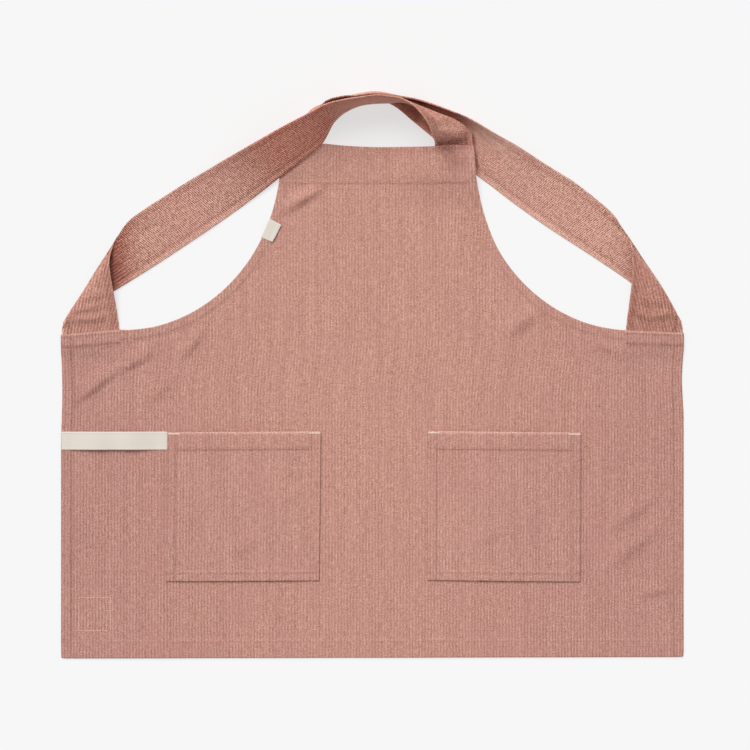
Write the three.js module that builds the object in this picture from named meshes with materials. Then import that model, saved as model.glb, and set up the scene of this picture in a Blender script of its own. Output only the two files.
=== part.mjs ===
import * as THREE from 'three';

// A cross-back smock apron lying face up. Millimetres: x runs across the apron, y up from the hem
// and z up from the surface that it lies on. The finished group is moved so that its origin is the
// middle of the underside of its box.

// Cloth
const CLOTH = 1.2;
const HEM_TURN = 1.0;
const STRAP_CLOTH = 1.8;
const TAPE_CLOTH = 1.0;
const SEWN_GAP = 0.3;

// Body panel
const BODY_HALF_WIDTH = 440;
const SIDE_HEIGHT = 462;
const BIB_HEIGHT = 726;
const BIB_HALF_WIDTH = 136;
const BIB_TOP_DIP = 4.5;
const BIB_SWAY = 6.5;
const SWAY_FADE = { low: 360, side: 50 };
const ARMHOLE_HALF_START = 360;
const ARMHOLE_TOP = 688;
const ARMHOLE_FLAT_PULL = 108;
const ARMHOLE_STEEP_PULL = { x: 13, y: 136 };
const BIB_SPLAY = 1;
const BIB_FOOT_INSET = 14;

// Hems, by how deep they are turned
const BOTTOM_HEM = 24;
const SIDE_HEM = 14.5;
const SIDE_TOP_FACING = 21;
const ARMHOLE_HEM = 12;
const BIB_FACING_LINE = 673;
const HEM_STEP = 2;

// Pockets
const POCKET_WIDTH = 216;
const POCKET_HEIGHT = 210;
const POCKET_MOUTH_HEM = 25;
const POCKET_EDGE_TURN = 13;
const POCKET_EASE = 4.6;
const POCKET_RISE = 16;
const POCKETS = [
  { name: 'pocket_left', x: -182.5, y: 213.5, slope: 0.3, lean: -0.7 },
  { name: 'pocket_right', x: 186.5, y: 213.5, slope: -0.6, lean: -0.2 },
];

// Towel loop and tag
const LOOP_WIDTH = 25.4;
const LOOP_Y = 306.5;
const LOOP_ARCH = 6.5;
const LOOP_ARCH_FULLNESS = 0.7;
const LOOP_SEWN_END = 14;
const LOOP_EDGE_INSET = 0.5;
const LOOP_TO_POCKET = 1.2;
const TAG_SIZE = { across: 18, along: 27 };
const TAG_PLACE = { x: -141.5, y: 603.5, turn: -25 };

// Places where the body panel lies over the sewn end of a strap, as soft-edged plateaus
const PLATEAUS = [
  { over: 'left strap at the side', x: -402, y: 452, halfX: 46, halfY: 16, rise: 2.6, fade: 14 },
  { over: 'right strap at the side', x: 402, y: 452, halfX: 46, halfY: 16, rise: 2.6, fade: 14 },
  { over: 'right strap at the bib', x: -100, y: 714, halfX: 38, halfY: 18, rise: 2.6, fade: 22 },
  { over: 'left strap at the bib', x: 118, y: 714, halfX: 38, halfY: 30, rise: 10, fade: 46 },
];

// Soft ridges in the panel, each a rounded ridge along its own direction
const RIDGES = [
  { at: 'below left armhole', x: -338, y: 402, turn: 35, long: 62, wide: 15, rise: 3 },
  { at: 'below right armhole', x: 240, y: 444, turn: -32, long: 44, wide: 14, rise: 2.4 },
  { at: 'right side', x: 372, y: 168, turn: 52, long: 78, wide: 17, rise: 2.4 },
  { at: 'right side low', x: 400, y: 96, turn: 48, long: 50, wide: 15, rise: 1.8 },
  { at: 'bib near left armhole', x: -112, y: 646, turn: -24, long: 24, wide: 11, rise: 2.2 },
];

// Strap sections from the side of the body to the bib. The inner edge is the one nearer the middle
// of the body at the sewn end: it becomes the upper edge of the slanting run and the top rim behind
// the neck. A section with a knee is bent there, and the others are straight across.
const STRAP_LEFT_SECTIONS = [
  { at: 'sewn end', outer: [-439, 439, 1.1], inner: [-360, 442, 1.1] },
  { at: 'leaves the body', outer: [-439, 465, 1.1], inner: [-359, 465, 1.1] },
  { at: 'fold, front', outer: [-437, 473, 5.4], inner: [-371, 557, 13] },
  { at: 'fold, edge', outer: [-439.5, 475.5, 3.2], inner: [-367, 578, 7] },
  { at: 'fold, back', outer: [-436, 478, 1], inner: [-358, 604, 1.2] },
  { at: 'under the fold', outer: [-367, 518, 1], inner: [-354, 611, 1] },
  { at: 'low run', outer: [-308, 555, 1], inner: [-343, 619, 1] },
  { at: 'middle run', outer: [-243, 598, 1], inner: [-281, 659, 2] },
  { at: 'starts to bank', outer: [-192, 633, 1], inner: [-229, 688, 11] },
  { at: 'beside the bib', outer: [-142, 671, 3.6], inner: [-180, 716, 31] },
  { at: 'over the bib', outer: [-104, 700, 9], inner: [-137, 738, 46] },
  { at: 'bib corner', outer: [-71, 726, 12], inner: [-91, 762, 52] },
  { at: 'neck, left', outer: [-54, 756, 12], inner: [-65, 773, 60] },
  { at: 'neck, upper left', outer: [-39, 770, 8], inner: [-43, 778, 62] },
  { at: 'neck, nearly upright', outer: [-16, 781, 3], inner: [-21, 783, 61] },
  { at: 'neck, back', outer: [8, 784.3, 2.2], inner: [7, 787, 61] },
  { at: 'neck, upright', outer: [26, 784.3, 5.6], inner: [25, 785, 61] },
  { at: 'neck, tips in', outer: [42, 785, 7], inner: [40, 782, 62] },
  { at: 'neck, upper right', outer: [75, 776, 8], inner: [59, 771, 60] },
  { at: 'neck, right', outer: [96, 767, 8.5], inner: [74, 754, 52] },
  { at: 'falls to the bib', outer: [118, 760, 8.5], inner: [80, 745, 43] },
  { at: 'near the bib', outer: [135, 748, 8.5], inner: [84, 736, 28] },
  { at: 'bib seam', outer: [141, 733, 8.4], inner: [89, 728, 9.4] },
  { at: 'bib end', outer: [141, 711, 8.2], inner: [89, 711, 8.2] },
];
const STRAP_RIGHT_SECTIONS = [
  { at: 'sewn end', outer: [439, 439, 1.1], inner: [359, 439, 1.1] },
  { at: 'leaves the body', outer: [439, 464, 1.1], inner: [360, 464, 1.1] },
  { at: 'fold, front', outer: [437, 473, 5.4], inner: [364, 554, 10] },
  { at: 'fold, edge', outer: [439.5, 476, 3.2], inner: [363, 582, 5.5] },
  { at: 'fold, back', outer: [435, 480, 1], inner: [357, 602, 1.2] },
  { at: 'under the fold', outer: [366, 531, 1], inner: [351, 616, 1] },
  { at: 'low run', outer: [309, 570, 1], inner: [342, 628, 1] },
  { at: 'middle run', outer: [249, 609, 1], inner: [290, 669, 2] },
  { at: 'starts to bank', outer: [205, 640, 1], inner: [243, 696, 9] },
  { at: 'beside the bib', outer: [167, 669, 1], inner: [200, 719, 26], knee: [184, 694, 6] },
  { at: 'under the bib edge', outer: [148, 683, 1], inner: [177, 733, 30], knee: [169, 720, 1] },
  { at: 'under the bib', outer: [117, 709, 1], inner: [138, 757, 33], knee: [139, 757, 1] },
  { at: 'bib corner', outer: [85, 737, 1], inner: [102, 771, 36], knee: [105, 777, 1] },
  { at: 'neck, upper right', outer: [56, 761, 1], inner: [67, 782, 42], knee: [71, 789, 1] },
  { at: 'neck, tips in', outer: [31, 781, 1], inner: [39, 786, 50], knee: [39, 795, 1] },
  { at: 'neck, back', outer: [4, 791, 1], inner: [4, 790.5, 60] },
  { at: 'neck, upper left', outer: [-22, 789, 1], inner: [-22, 787.5, 59] },
  { at: 'neck, upright', outer: [-42, 786, 1], inner: [-41, 783.5, 58] },
  { at: 'neck, left', outer: [-67, 782, 1], inner: [-66, 780.5, 52] },
  { at: 'falls to the bib', outer: [-90, 773, 1], inner: [-77, 756, 25], knee: [-91, 770, 38] },
  { at: 'near the bib', outer: [-112, 755, 1], inner: [-77, 737, 6], knee: [-98, 750, 22] },
  { at: 'bib seam', outer: [-127, 737, 1.1], inner: [-72, 733, 1.1] },
  { at: 'bib end', outer: [-128, 711, 1.1], inner: [-72, 711, 1.1] },
];

// Fineness of the meshes
const STRAP_STEPS = { perSection: 3, across: 6 };
const SLOPE_STEP = 0.002;
const BODY_ROWS = 15;
const SIDE_COLUMNS = 3;
const ARMHOLE_COLUMNS = 11;
const BIB_SIDE_COLUMNS = 2;
const BIB_TOP_COLUMNS = 5;
const POCKET_CELLS = 4;
const POCKET_RISE_CELLS = 2;
const LOOP_STEPS = 18;

const rose = new THREE.MeshStandardMaterial({ color: 0xc18f80, roughness: 0.95, metalness: 0 });
const ecru = new THREE.MeshStandardMaterial({ color: 0xe3dcd0, roughness: 0.9, metalness: 0 });

const smooth = (value) => THREE.MathUtils.smoothstep(value, 0, 1);
const mix = THREE.MathUtils.lerp;
const spread = (from, to, cells) => {
  const steps = Array.from({ length: cells + 1 }, (_, step) => step);
  return steps.map((step) => mix(from, to, step / cells));
};

// A closed sheet from a grid of points that each give the under and upper side of the cloth.
function closedSheet(columns, rows, pointAt) {
  const positions = [];
  for (const side of ['upper', 'under']) {
    for (let row = 0; row <= rows; row += 1) {
      for (let column = 0; column <= columns; column += 1) {
        positions.push(...pointAt(column, row)[side]);
      }
    }
  }
  const layer = (columns + 1) * (rows + 1);
  const upper = (column, row) => row * (columns + 1) + column;
  const under = (column, row) => layer + upper(column, row);
  const triangles = [];
  const quad = (a, b, c, d) => triangles.push(a, b, c, a, c, d);
  for (let row = 0; row < rows; row += 1) {
    for (let column = 0; column < columns; column += 1) {
      quad(upper(column, row), upper(column + 1, row), upper(column + 1, row + 1), upper(column, row + 1));
      quad(under(column, row), under(column, row + 1), under(column + 1, row + 1), under(column + 1, row));
    }
  }
  for (let column = 0; column < columns; column += 1) {
    quad(under(column, 0), under(column + 1, 0), upper(column + 1, 0), upper(column, 0));
    quad(under(column + 1, rows), under(column, rows), upper(column, rows), upper(column + 1, rows));
  }
  for (let row = 0; row < rows; row += 1) {
    quad(under(0, row + 1), under(0, row), upper(0, row), upper(0, row + 1));
    quad(under(columns, row), under(columns, row + 1), upper(columns, row + 1), upper(columns, row));
  }
  const geometry = new THREE.BufferGeometry();
  geometry.setAttribute('position', new THREE.Float32BufferAttribute(positions, 3));
  geometry.setIndex(triangles);
  geometry.computeVertexNormals();
  return geometry;
}

// How far the panel's underside stands off the surface.
function liftAt(x, y) {
  let lift = 0;
  for (const { x: midX, y: midY, halfX, halfY, rise, fade } of PLATEAUS) {
    const pastX = Math.max(Math.abs(x - midX) - halfX, 0);
    const pastY = Math.max(Math.abs(y - midY) - halfY, 0);
    const away = Math.hypot(pastX, pastY);
    lift = Math.max(lift, rise * (1 - smooth(away / fade)));
  }
  for (const { x: midX, y: midY, turn, long, wide, rise } of RIDGES) {
    const angle = THREE.MathUtils.degToRad(turn);
    const along = (x - midX) * Math.cos(angle) + (y - midY) * Math.sin(angle);
    const across = (y - midY) * Math.cos(angle) - (x - midX) * Math.sin(angle);
    const reach = Math.hypot(along / long, across / (wide * 2));
    lift += rise * (1 - smooth(reach));
  }
  return lift;
}

// The bib and the armholes lie a little to the right of the hem's middle.
function swayAt(x, y) {
  const upward = smooth((y - SWAY_FADE.low) / (SIDE_HEIGHT - SWAY_FADE.low));
  const inward = smooth((ARMHOLE_HALF_START - Math.abs(x)) / SWAY_FADE.side);
  return BIB_SWAY * upward * inward;
}

// Columns of the right half of the body, from the side edge to the middle: the column's foot on the
// hem, its top on the outline, and the line to which its top edge is turned under.
function halfBodyColumns() {
  const columns = [];
  const shoulder = BODY_HALF_WIDTH - ARMHOLE_HALF_START;
  for (const step of [0, SIDE_HEM - HEM_STEP, ...spread(SIDE_HEM, shoulder, SIDE_COLUMNS)]) {
    const x = BODY_HALF_WIDTH - step;
    columns.push({ foot: x, x, y: SIDE_HEIGHT, turnedTo: SIDE_HEIGHT - SIDE_TOP_FACING });
  }
  const armhole = new THREE.CubicBezierCurve(
    new THREE.Vector2(ARMHOLE_HALF_START, SIDE_HEIGHT),
    new THREE.Vector2(ARMHOLE_HALF_START - ARMHOLE_FLAT_PULL, SIDE_HEIGHT),
    new THREE.Vector2(BIB_HALF_WIDTH + ARMHOLE_STEEP_PULL.x, ARMHOLE_TOP - ARMHOLE_STEEP_PULL.y),
    new THREE.Vector2(BIB_HALF_WIDTH + BIB_SPLAY, ARMHOLE_TOP),
  );
  for (let step = 1; step <= ARMHOLE_COLUMNS; step += 1) {
    const { x, y } = armhole.getPoint(step / ARMHOLE_COLUMNS);
    columns.push({ foot: x, x, y, turnedTo: Math.min(y - ARMHOLE_HEM, BIB_FACING_LINE) });
  }
  const cornerFoot = BIB_HALF_WIDTH - BIB_FOOT_INSET;
  for (let step = 1; step <= BIB_SIDE_COLUMNS; step += 1) {
    const part = step / BIB_SIDE_COLUMNS;
    columns.push({
      foot: mix(BIB_HALF_WIDTH, cornerFoot, part),
      x: mix(BIB_HALF_WIDTH + BIB_SPLAY, BIB_HALF_WIDTH, part),
      y: mix(ARMHOLE_TOP, BIB_HEIGHT, part),
      turnedTo: BIB_FACING_LINE,
    });
  }
  for (let step = 1; step <= BIB_TOP_COLUMNS; step += 1) {
    const part = 1 - step / BIB_TOP_COLUMNS;
    const y = BIB_HEIGHT - BIB_TOP_DIP * (1 - part * part);
    columns.push({ foot: cornerFoot * part, x: BIB_HALF_WIDTH * part, y, turnedTo: BIB_FACING_LINE });
  }
  return columns;
}

// Thickness of the panel: one layer, and two where an edge is turned under.
function panelThickness(x, y, turnedTo) {
  const sideLine = BODY_HALF_WIDTH - SIDE_HEM + HEM_STEP / 2;
  const turned = y <= BOTTOM_HEM || y >= turnedTo || Math.abs(x) >= sideLine;
  return turned ? CLOTH + HEM_TURN : CLOTH;
}

// Upper side of the panel where it is one layer.
function panelTop(x, y) {
  return liftAt(x, y) + CLOTH;
}

function bodyPanel() {
  const half = halfBodyColumns();
  const mirrored = half.slice(0, -1).map((column) => ({ ...column, foot: -column.foot, x: -column.x }));
  const columns = [...mirrored, ...half.reverse()];
  const heights = ({ y, turnedTo }) => {
    const inner = turnedTo - HEM_STEP;
    const low = BOTTOM_HEM + HEM_STEP;
    return [0, BOTTOM_HEM, ...spread(low, inner, BODY_ROWS), turnedTo, (turnedTo + y) / 2, y];
  };
  const levels = columns.map(heights);
  const geometry = closedSheet(columns.length - 1, levels[0].length - 1, (index, row) => {
    const column = columns[index];
    const y = levels[index][row];
    const flatX = mix(column.foot, column.x, y / column.y);
    const x = flatX + swayAt(flatX, y);
    const z = liftAt(x, y);
    return { under: [x, y, z], upper: [x, y, z + panelThickness(flatX, y, column.turnedTo)] };
  });
  return named('body_panel', geometry, rose);
}

// A smooth band through its sections. Across, it leaves each edge towards the section's knee.
function strap(name, sections, faceSign) {
  const vector = (numbers) => new THREE.Vector3(...numbers);
  const guide = (points) => new THREE.CatmullRomCurve3(points, false, 'centripetal');
  const outer = guide(sections.map((section) => vector(section.outer)));
  const inner = guide(sections.map((section) => vector(section.inner)));
  const knee = guide(sections.map((section) => {
    const middle = vector(section.outer).lerp(vector(section.inner), 0.5);
    return section.knee ? vector(section.knee) : middle;
  }));
  const rows = (sections.length - 1) * STRAP_STEPS.perSection;
  const middleAt = (along, across) => {
    const back = 1 - across;
    return outer.getPoint(along).multiplyScalar(back ** 3)
      .addScaledVector(knee.getPoint(along), 3 * across * back)
      .addScaledVector(inner.getPoint(along), across ** 3);
  };
  const slope = (pointAt, value) => {
    const low = Math.max(value - SLOPE_STEP, 0);
    const high = Math.min(value + SLOPE_STEP, 1);
    return pointAt(high).sub(pointAt(low)).normalize();
  };
  const geometry = closedSheet(STRAP_STEPS.across, rows, (column, row) => {
    const along = row / rows;
    const across = column / STRAP_STEPS.across;
    const forward = slope((value) => middleAt(value, across), along);
    const sideways = slope((value) => middleAt(along, value), across);
    const face = sideways.cross(forward).normalize().multiplyScalar(STRAP_CLOTH / 2);
    const middle = middleAt(along, across);
    const onSurface = (point) => [point.x, point.y, Math.max(point.z, 0)];
    return {
      upper: onSurface(middle.clone().addScaledVector(face, faceSign)),
      under: onSurface(middle.clone().addScaledVector(face, -faceSign)),
    };
  });
  return named(name, faceSign > 0 ? geometry : turnedOut(geometry), rose);
}

// The same closed sheet with its faces turned the other way out.
function turnedOut(geometry) {
  const triangles = Array.from(geometry.getIndex().array);
  for (let first = 0; first < triangles.length; first += 3) {
    [triangles[first], triangles[first + 1]] = [triangles[first + 1], triangles[first]];
  }
  geometry.setIndex(triangles);
  geometry.computeVertexNormals();
  return geometry;
}

// A patch pocket: two layers down the sides and along the bottom, where it is sewn to the panel, one
// layer that rises over the hollow, and a double hem along the open mouth.
function pocket({ name, x: midX, y: midY, slope, lean }) {
  const halfWidth = POCKET_WIDTH / 2;
  const halfHeight = POCKET_HEIGHT / 2;
  const sideLine = halfWidth - POCKET_EDGE_TURN;
  const bottomLine = -halfHeight + POCKET_EDGE_TURN;
  const mouthLine = halfHeight - POCKET_MOUTH_HEM;
  const crownX = sideLine - POCKET_RISE;
  const crownY = bottomLine + POCKET_RISE;
  const xs = [
    -halfWidth,
    ...spread(-sideLine, -crownX, POCKET_RISE_CELLS),
    ...spread(-crownX, crownX, POCKET_CELLS).slice(1, -1),
    ...spread(crownX, sideLine, POCKET_RISE_CELLS),
    halfWidth,
  ];
  const ys = [
    -halfHeight,
    ...spread(bottomLine, crownY, POCKET_RISE_CELLS),
    ...spread(crownY, mouthLine - HEM_STEP, POCKET_CELLS).slice(1),
    mouthLine,
    halfHeight,
  ];
  const easeAt = (localX, localY) => {
    const inward = Math.min(sideLine - Math.abs(localX), localY - bottomLine);
    return POCKET_EASE * smooth(inward / POCKET_RISE);
  };
  const geometry = closedSheet(xs.length - 1, ys.length - 1, (column, row) => {
    const localX = xs[column];
    const localY = ys[row];
    const sewn = Math.abs(localX) >= sideLine || localY <= bottomLine;
    const doubled = sewn || localY >= mouthLine;
    const x = midX + localX - localY * Math.sin(THREE.MathUtils.degToRad(lean));
    const y = midY + localY + localX * Math.sin(THREE.MathUtils.degToRad(slope));
    const under = panelTop(x, y) + SEWN_GAP + easeAt(localX, localY);
    return { under: [x, y, under], upper: [x, y, under + CLOTH + (doubled ? HEM_TURN : 0)] };
  });
  return named(name, geometry, rose);
}

// A tape sewn at both ends, with a low arch between them.
function towelLoop() {
  const leftPocket = POCKETS[0];
  const lean = Math.sin(THREE.MathUtils.degToRad(leftPocket.lean)) * (LOOP_Y - leftPocket.y - LOOP_WIDTH / 2);
  const start = -BODY_HALF_WIDTH + LOOP_EDGE_INSET;
  const end = leftPocket.x - POCKET_WIDTH / 2 - lean - LOOP_TO_POCKET;
  const arch = (x) => {
    const part = (x - start - LOOP_SEWN_END) / (end - start - 2 * LOOP_SEWN_END);
    return LOOP_ARCH * Math.sin(Math.PI * THREE.MathUtils.clamp(part, 0, 1)) ** LOOP_ARCH_FULLNESS;
  };
  const geometry = closedSheet(LOOP_STEPS, 1, (column, row) => {
    const x = mix(start, end, column / LOOP_STEPS);
    const y = LOOP_Y + (row - 0.5) * LOOP_WIDTH;
    const overHem = x < start + SIDE_HEM + HEM_STEP ? HEM_TURN : 0;
    const under = panelTop(x, y) + SEWN_GAP + Math.max(arch(x), overHem);
    return { under: [x, y, under], upper: [x, y, under + TAPE_CLOTH] };
  });
  return named('towel_loop', geometry, ecru);
}

// A small flat tag sewn to the face of the panel along the left armhole.
function labelTag() {
  const geometry = new THREE.BoxGeometry(TAG_SIZE.across, TAG_SIZE.along, TAPE_CLOTH);
  const mesh = named('label_tag', geometry, ecru);
  const seat = panelTop(TAG_PLACE.x, TAG_PLACE.y) + HEM_TURN + SEWN_GAP;
  mesh.position.set(TAG_PLACE.x, TAG_PLACE.y, seat + TAPE_CLOTH / 2);
  mesh.rotation.z = THREE.MathUtils.degToRad(TAG_PLACE.turn);
  return mesh;
}

function named(name, geometry, material) {
  const mesh = new THREE.Mesh(geometry, material);
  mesh.name = name;
  return mesh;
}

const apron = new THREE.Group();
apron.add(bodyPanel());
apron.add(strap('strap_left', STRAP_LEFT_SECTIONS, 1));
apron.add(strap('strap_right', STRAP_RIGHT_SECTIONS, -1));
for (const place of POCKETS) {
  apron.add(pocket(place));
}
apron.add(towelLoop());
apron.add(labelTag());

const box = new THREE.Box3().setFromObject(apron);
const middle = box.getCenter(new THREE.Vector3());
apron.position.set(-middle.x, -middle.y, -box.min.z);
apron.updateMatrixWorld(true);

export default apron;
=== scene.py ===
"""A cross-back smock apron of ribbed cotton, lying face up on a pale floor.

Sizes in the classes are millimetres on the apron's own pattern: x runs across it, y up from the hem and
z up from the floor. laid_out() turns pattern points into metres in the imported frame.
"""

import logging
import math
from abc import ABC, abstractmethod
from dataclasses import dataclass, field, replace
from enum import Enum
from typing import NamedTuple, Sequence

import bmesh
import bpy
import numpy as np
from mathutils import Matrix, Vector


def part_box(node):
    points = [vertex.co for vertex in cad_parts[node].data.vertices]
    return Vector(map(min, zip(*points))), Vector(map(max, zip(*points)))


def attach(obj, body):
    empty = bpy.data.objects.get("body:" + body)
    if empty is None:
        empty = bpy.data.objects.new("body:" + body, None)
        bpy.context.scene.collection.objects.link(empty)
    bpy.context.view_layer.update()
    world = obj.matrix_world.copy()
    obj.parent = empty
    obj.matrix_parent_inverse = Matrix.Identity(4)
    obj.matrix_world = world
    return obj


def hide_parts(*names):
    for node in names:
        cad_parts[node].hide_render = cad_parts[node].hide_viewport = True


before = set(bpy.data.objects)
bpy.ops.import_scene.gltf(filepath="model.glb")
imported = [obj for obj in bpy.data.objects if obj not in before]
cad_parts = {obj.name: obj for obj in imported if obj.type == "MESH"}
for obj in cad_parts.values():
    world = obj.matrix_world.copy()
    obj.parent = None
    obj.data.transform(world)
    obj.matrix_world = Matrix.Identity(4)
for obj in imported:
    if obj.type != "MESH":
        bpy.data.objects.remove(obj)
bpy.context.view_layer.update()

LOG = logging.getLogger("smock_apron")
BODY = "root"
MM = 0.001
PATTERN_CORNER = np.array((-440.0, 0.0, 0.0))
CLOTH_MAP = "cloth"
# Vertex attribute of painted light and shade: painted highlights, painted shade in creases and crevices, and
# darker sewn lines.
PAINTED_TONE = "tone"
WARM_SHADE = "painted_warm_shade"
RIDGE_FOOT = 0.7
NO_TURN = -1000.0
EDGE_BULGE = 0.4
STITCH_STEP = 2.0

Array = np.ndarray
Point = tuple[float, float, float]
Colour = tuple[float, float, float, float]
Socket = bpy.types.NodeSocket
Finish = bpy.types.Material
Piece = bpy.types.Object


class Slot(Enum):
    """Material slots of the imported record."""

    COTTON = "ribbed_cotton"
    TAPE = "ecru_tape"


class Hold(Enum):
    """How a sheet of cloth lies."""

    LAID = "laid"
    FOLDED = "folded"


class Side(Enum):
    """The apron's two sides, as seen from above."""

    LEFT = -1
    RIGHT = 1


def laid_out(points: Array) -> Array:
    """Move pattern points in millimetres, with x, y and z last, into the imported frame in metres."""
    corner = np.array(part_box("body_panel")[0])
    return corner + (np.asarray(points, float) - PATTERN_CORNER) * MM


def eased(value: Array) -> Array:
    """Go gently from 0 to 1 while the value does, and stay there."""
    part = np.clip(value, 0.0, 1.0)
    return part * part * (3.0 - 2.0 * part)


def sewn_line(distance: Array, width: float) -> Array:
    """Depth of the dip along a sewn line, 1 on the line and 0 well away from it."""
    return np.exp(-((distance / width) ** 2))


def unit(vectors: Array) -> Array:
    """Scale vectors to length 1."""
    return vectors / np.maximum(np.linalg.norm(vectors, axis=-1, keepdims=True), 1e-12)


def albedo(red: int, green: int, blue: int) -> Colour:
    """Turn a display colour into the linear colour that a shader takes.

    Args:
        red: Its red, from 0 to 255.
        green: Its green.
        blue: Its blue.

    Returns:
        The linear colour.
    """
    parts = [value / 255.0 for value in (red, green, blue)]
    linear = [p / 12.92 if p <= 0.04045 else ((p + 0.055) / 1.055) ** 2.4 for p in parts]
    return (*linear, 1.0)


def layered(x: Array, y: Array, low: Array, thick: Array | float) -> tuple[Array, Array]:
    """Give a cloth's upper and under side from its places, its lower height and its thickness."""
    return np.stack((x, y, low + thick), axis=-1), np.stack((x, y, low), axis=-1)


class Ridge(NamedTuple):
    """A soft ridge in the cloth, with a slope of its own on each side of its crest."""

    x: float
    y: float
    turn: float
    long: float
    above: float
    below: float
    rise: float

    def measured(self, x: Array, y: Array) -> tuple[Array, Array]:
        """Measure how far pattern places lie along the ridge and across it.

        Args:
            x: Places across the apron.
            y: Places up from the hem.

        Returns:
            Distances along its crest and across it.
        """
        angle = math.radians(self.turn)
        along = (x - self.x) * math.cos(angle) + (y - self.y) * math.sin(angle)
        across = (y - self.y) * math.cos(angle) - (x - self.x) * math.sin(angle)
        return along, across

    def height(self, x: Array, y: Array) -> Array:
        """Give the ridge's height at pattern places.

        Args:
            x: Places across the apron.
            y: Places up from the hem.

        Returns:
            Heights in millimetres, 0 away from the ridge.
        """
        along, across = self.measured(x, y)
        slope = np.where(across > 0, across / self.above, across / self.below)
        return self.rise * (1.0 - eased(np.hypot(along / self.long, slope)))

    def crevice(self, x: Array, y: Array) -> Array:
        """Give how far into the fold at the ridge's lower foot pattern places are, from 0 to 1."""
        along, across = self.measured(x, y)
        return 1.0 - eased(np.hypot(along / self.long, across / self.below + RIDGE_FOOT))


def heaped(ridges: Sequence[Ridge], x: Array, y: Array) -> Array:
    """Add up the heights of ridges at pattern places."""
    return sum((ridge.height(x, y) for ridge in ridges), np.zeros(np.shape(x)))


class Plateau(NamedTuple):
    """A soft-edged rise where the body lies over the sewn end of a strap."""

    x: float
    y: float
    half_x: float
    half_y: float
    rise: float
    fade: float

    def height(self, x: Array, y: Array) -> Array:
        """Give the plateau's height at pattern places.

        Args:
            x: Places across the apron.
            y: Places up from the hem.

        Returns:
            Heights in millimetres, 0 away from the plateau.
        """
        past_x = np.maximum(np.abs(x - self.x) - self.half_x, 0.0)
        past_y = np.maximum(np.abs(y - self.y) - self.half_y, 0.0)
        return self.rise * (1.0 - eased(np.hypot(past_x, past_y) / self.fade))


class Hem(NamedTuple):
    """A turned edge: how far in it reaches and is sewn, and how deep and wide the sewn line's dip is."""

    reach: float
    sewn: float
    dip: float
    spread: float
    ease: float = 2.4

    def turned(self, inset: Array) -> Array:
        """Give how far the cloth is doubled at distances from the edge, from 0 to 1."""
        return eased((self.reach - inset + self.ease / 2) / self.ease)

    def drawn(self, inset: Array) -> Array:
        """Give how deep the sewn line draws the cloth in at distances from the edge, from 0 to 1."""
        return self.dip * sewn_line(inset - self.sewn, self.spread)


class Seam(NamedTuple):
    """A sewn line on the cloth: its points and the way up from the cloth at each, in millimetres."""

    points: Array
    ups: Array


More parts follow.
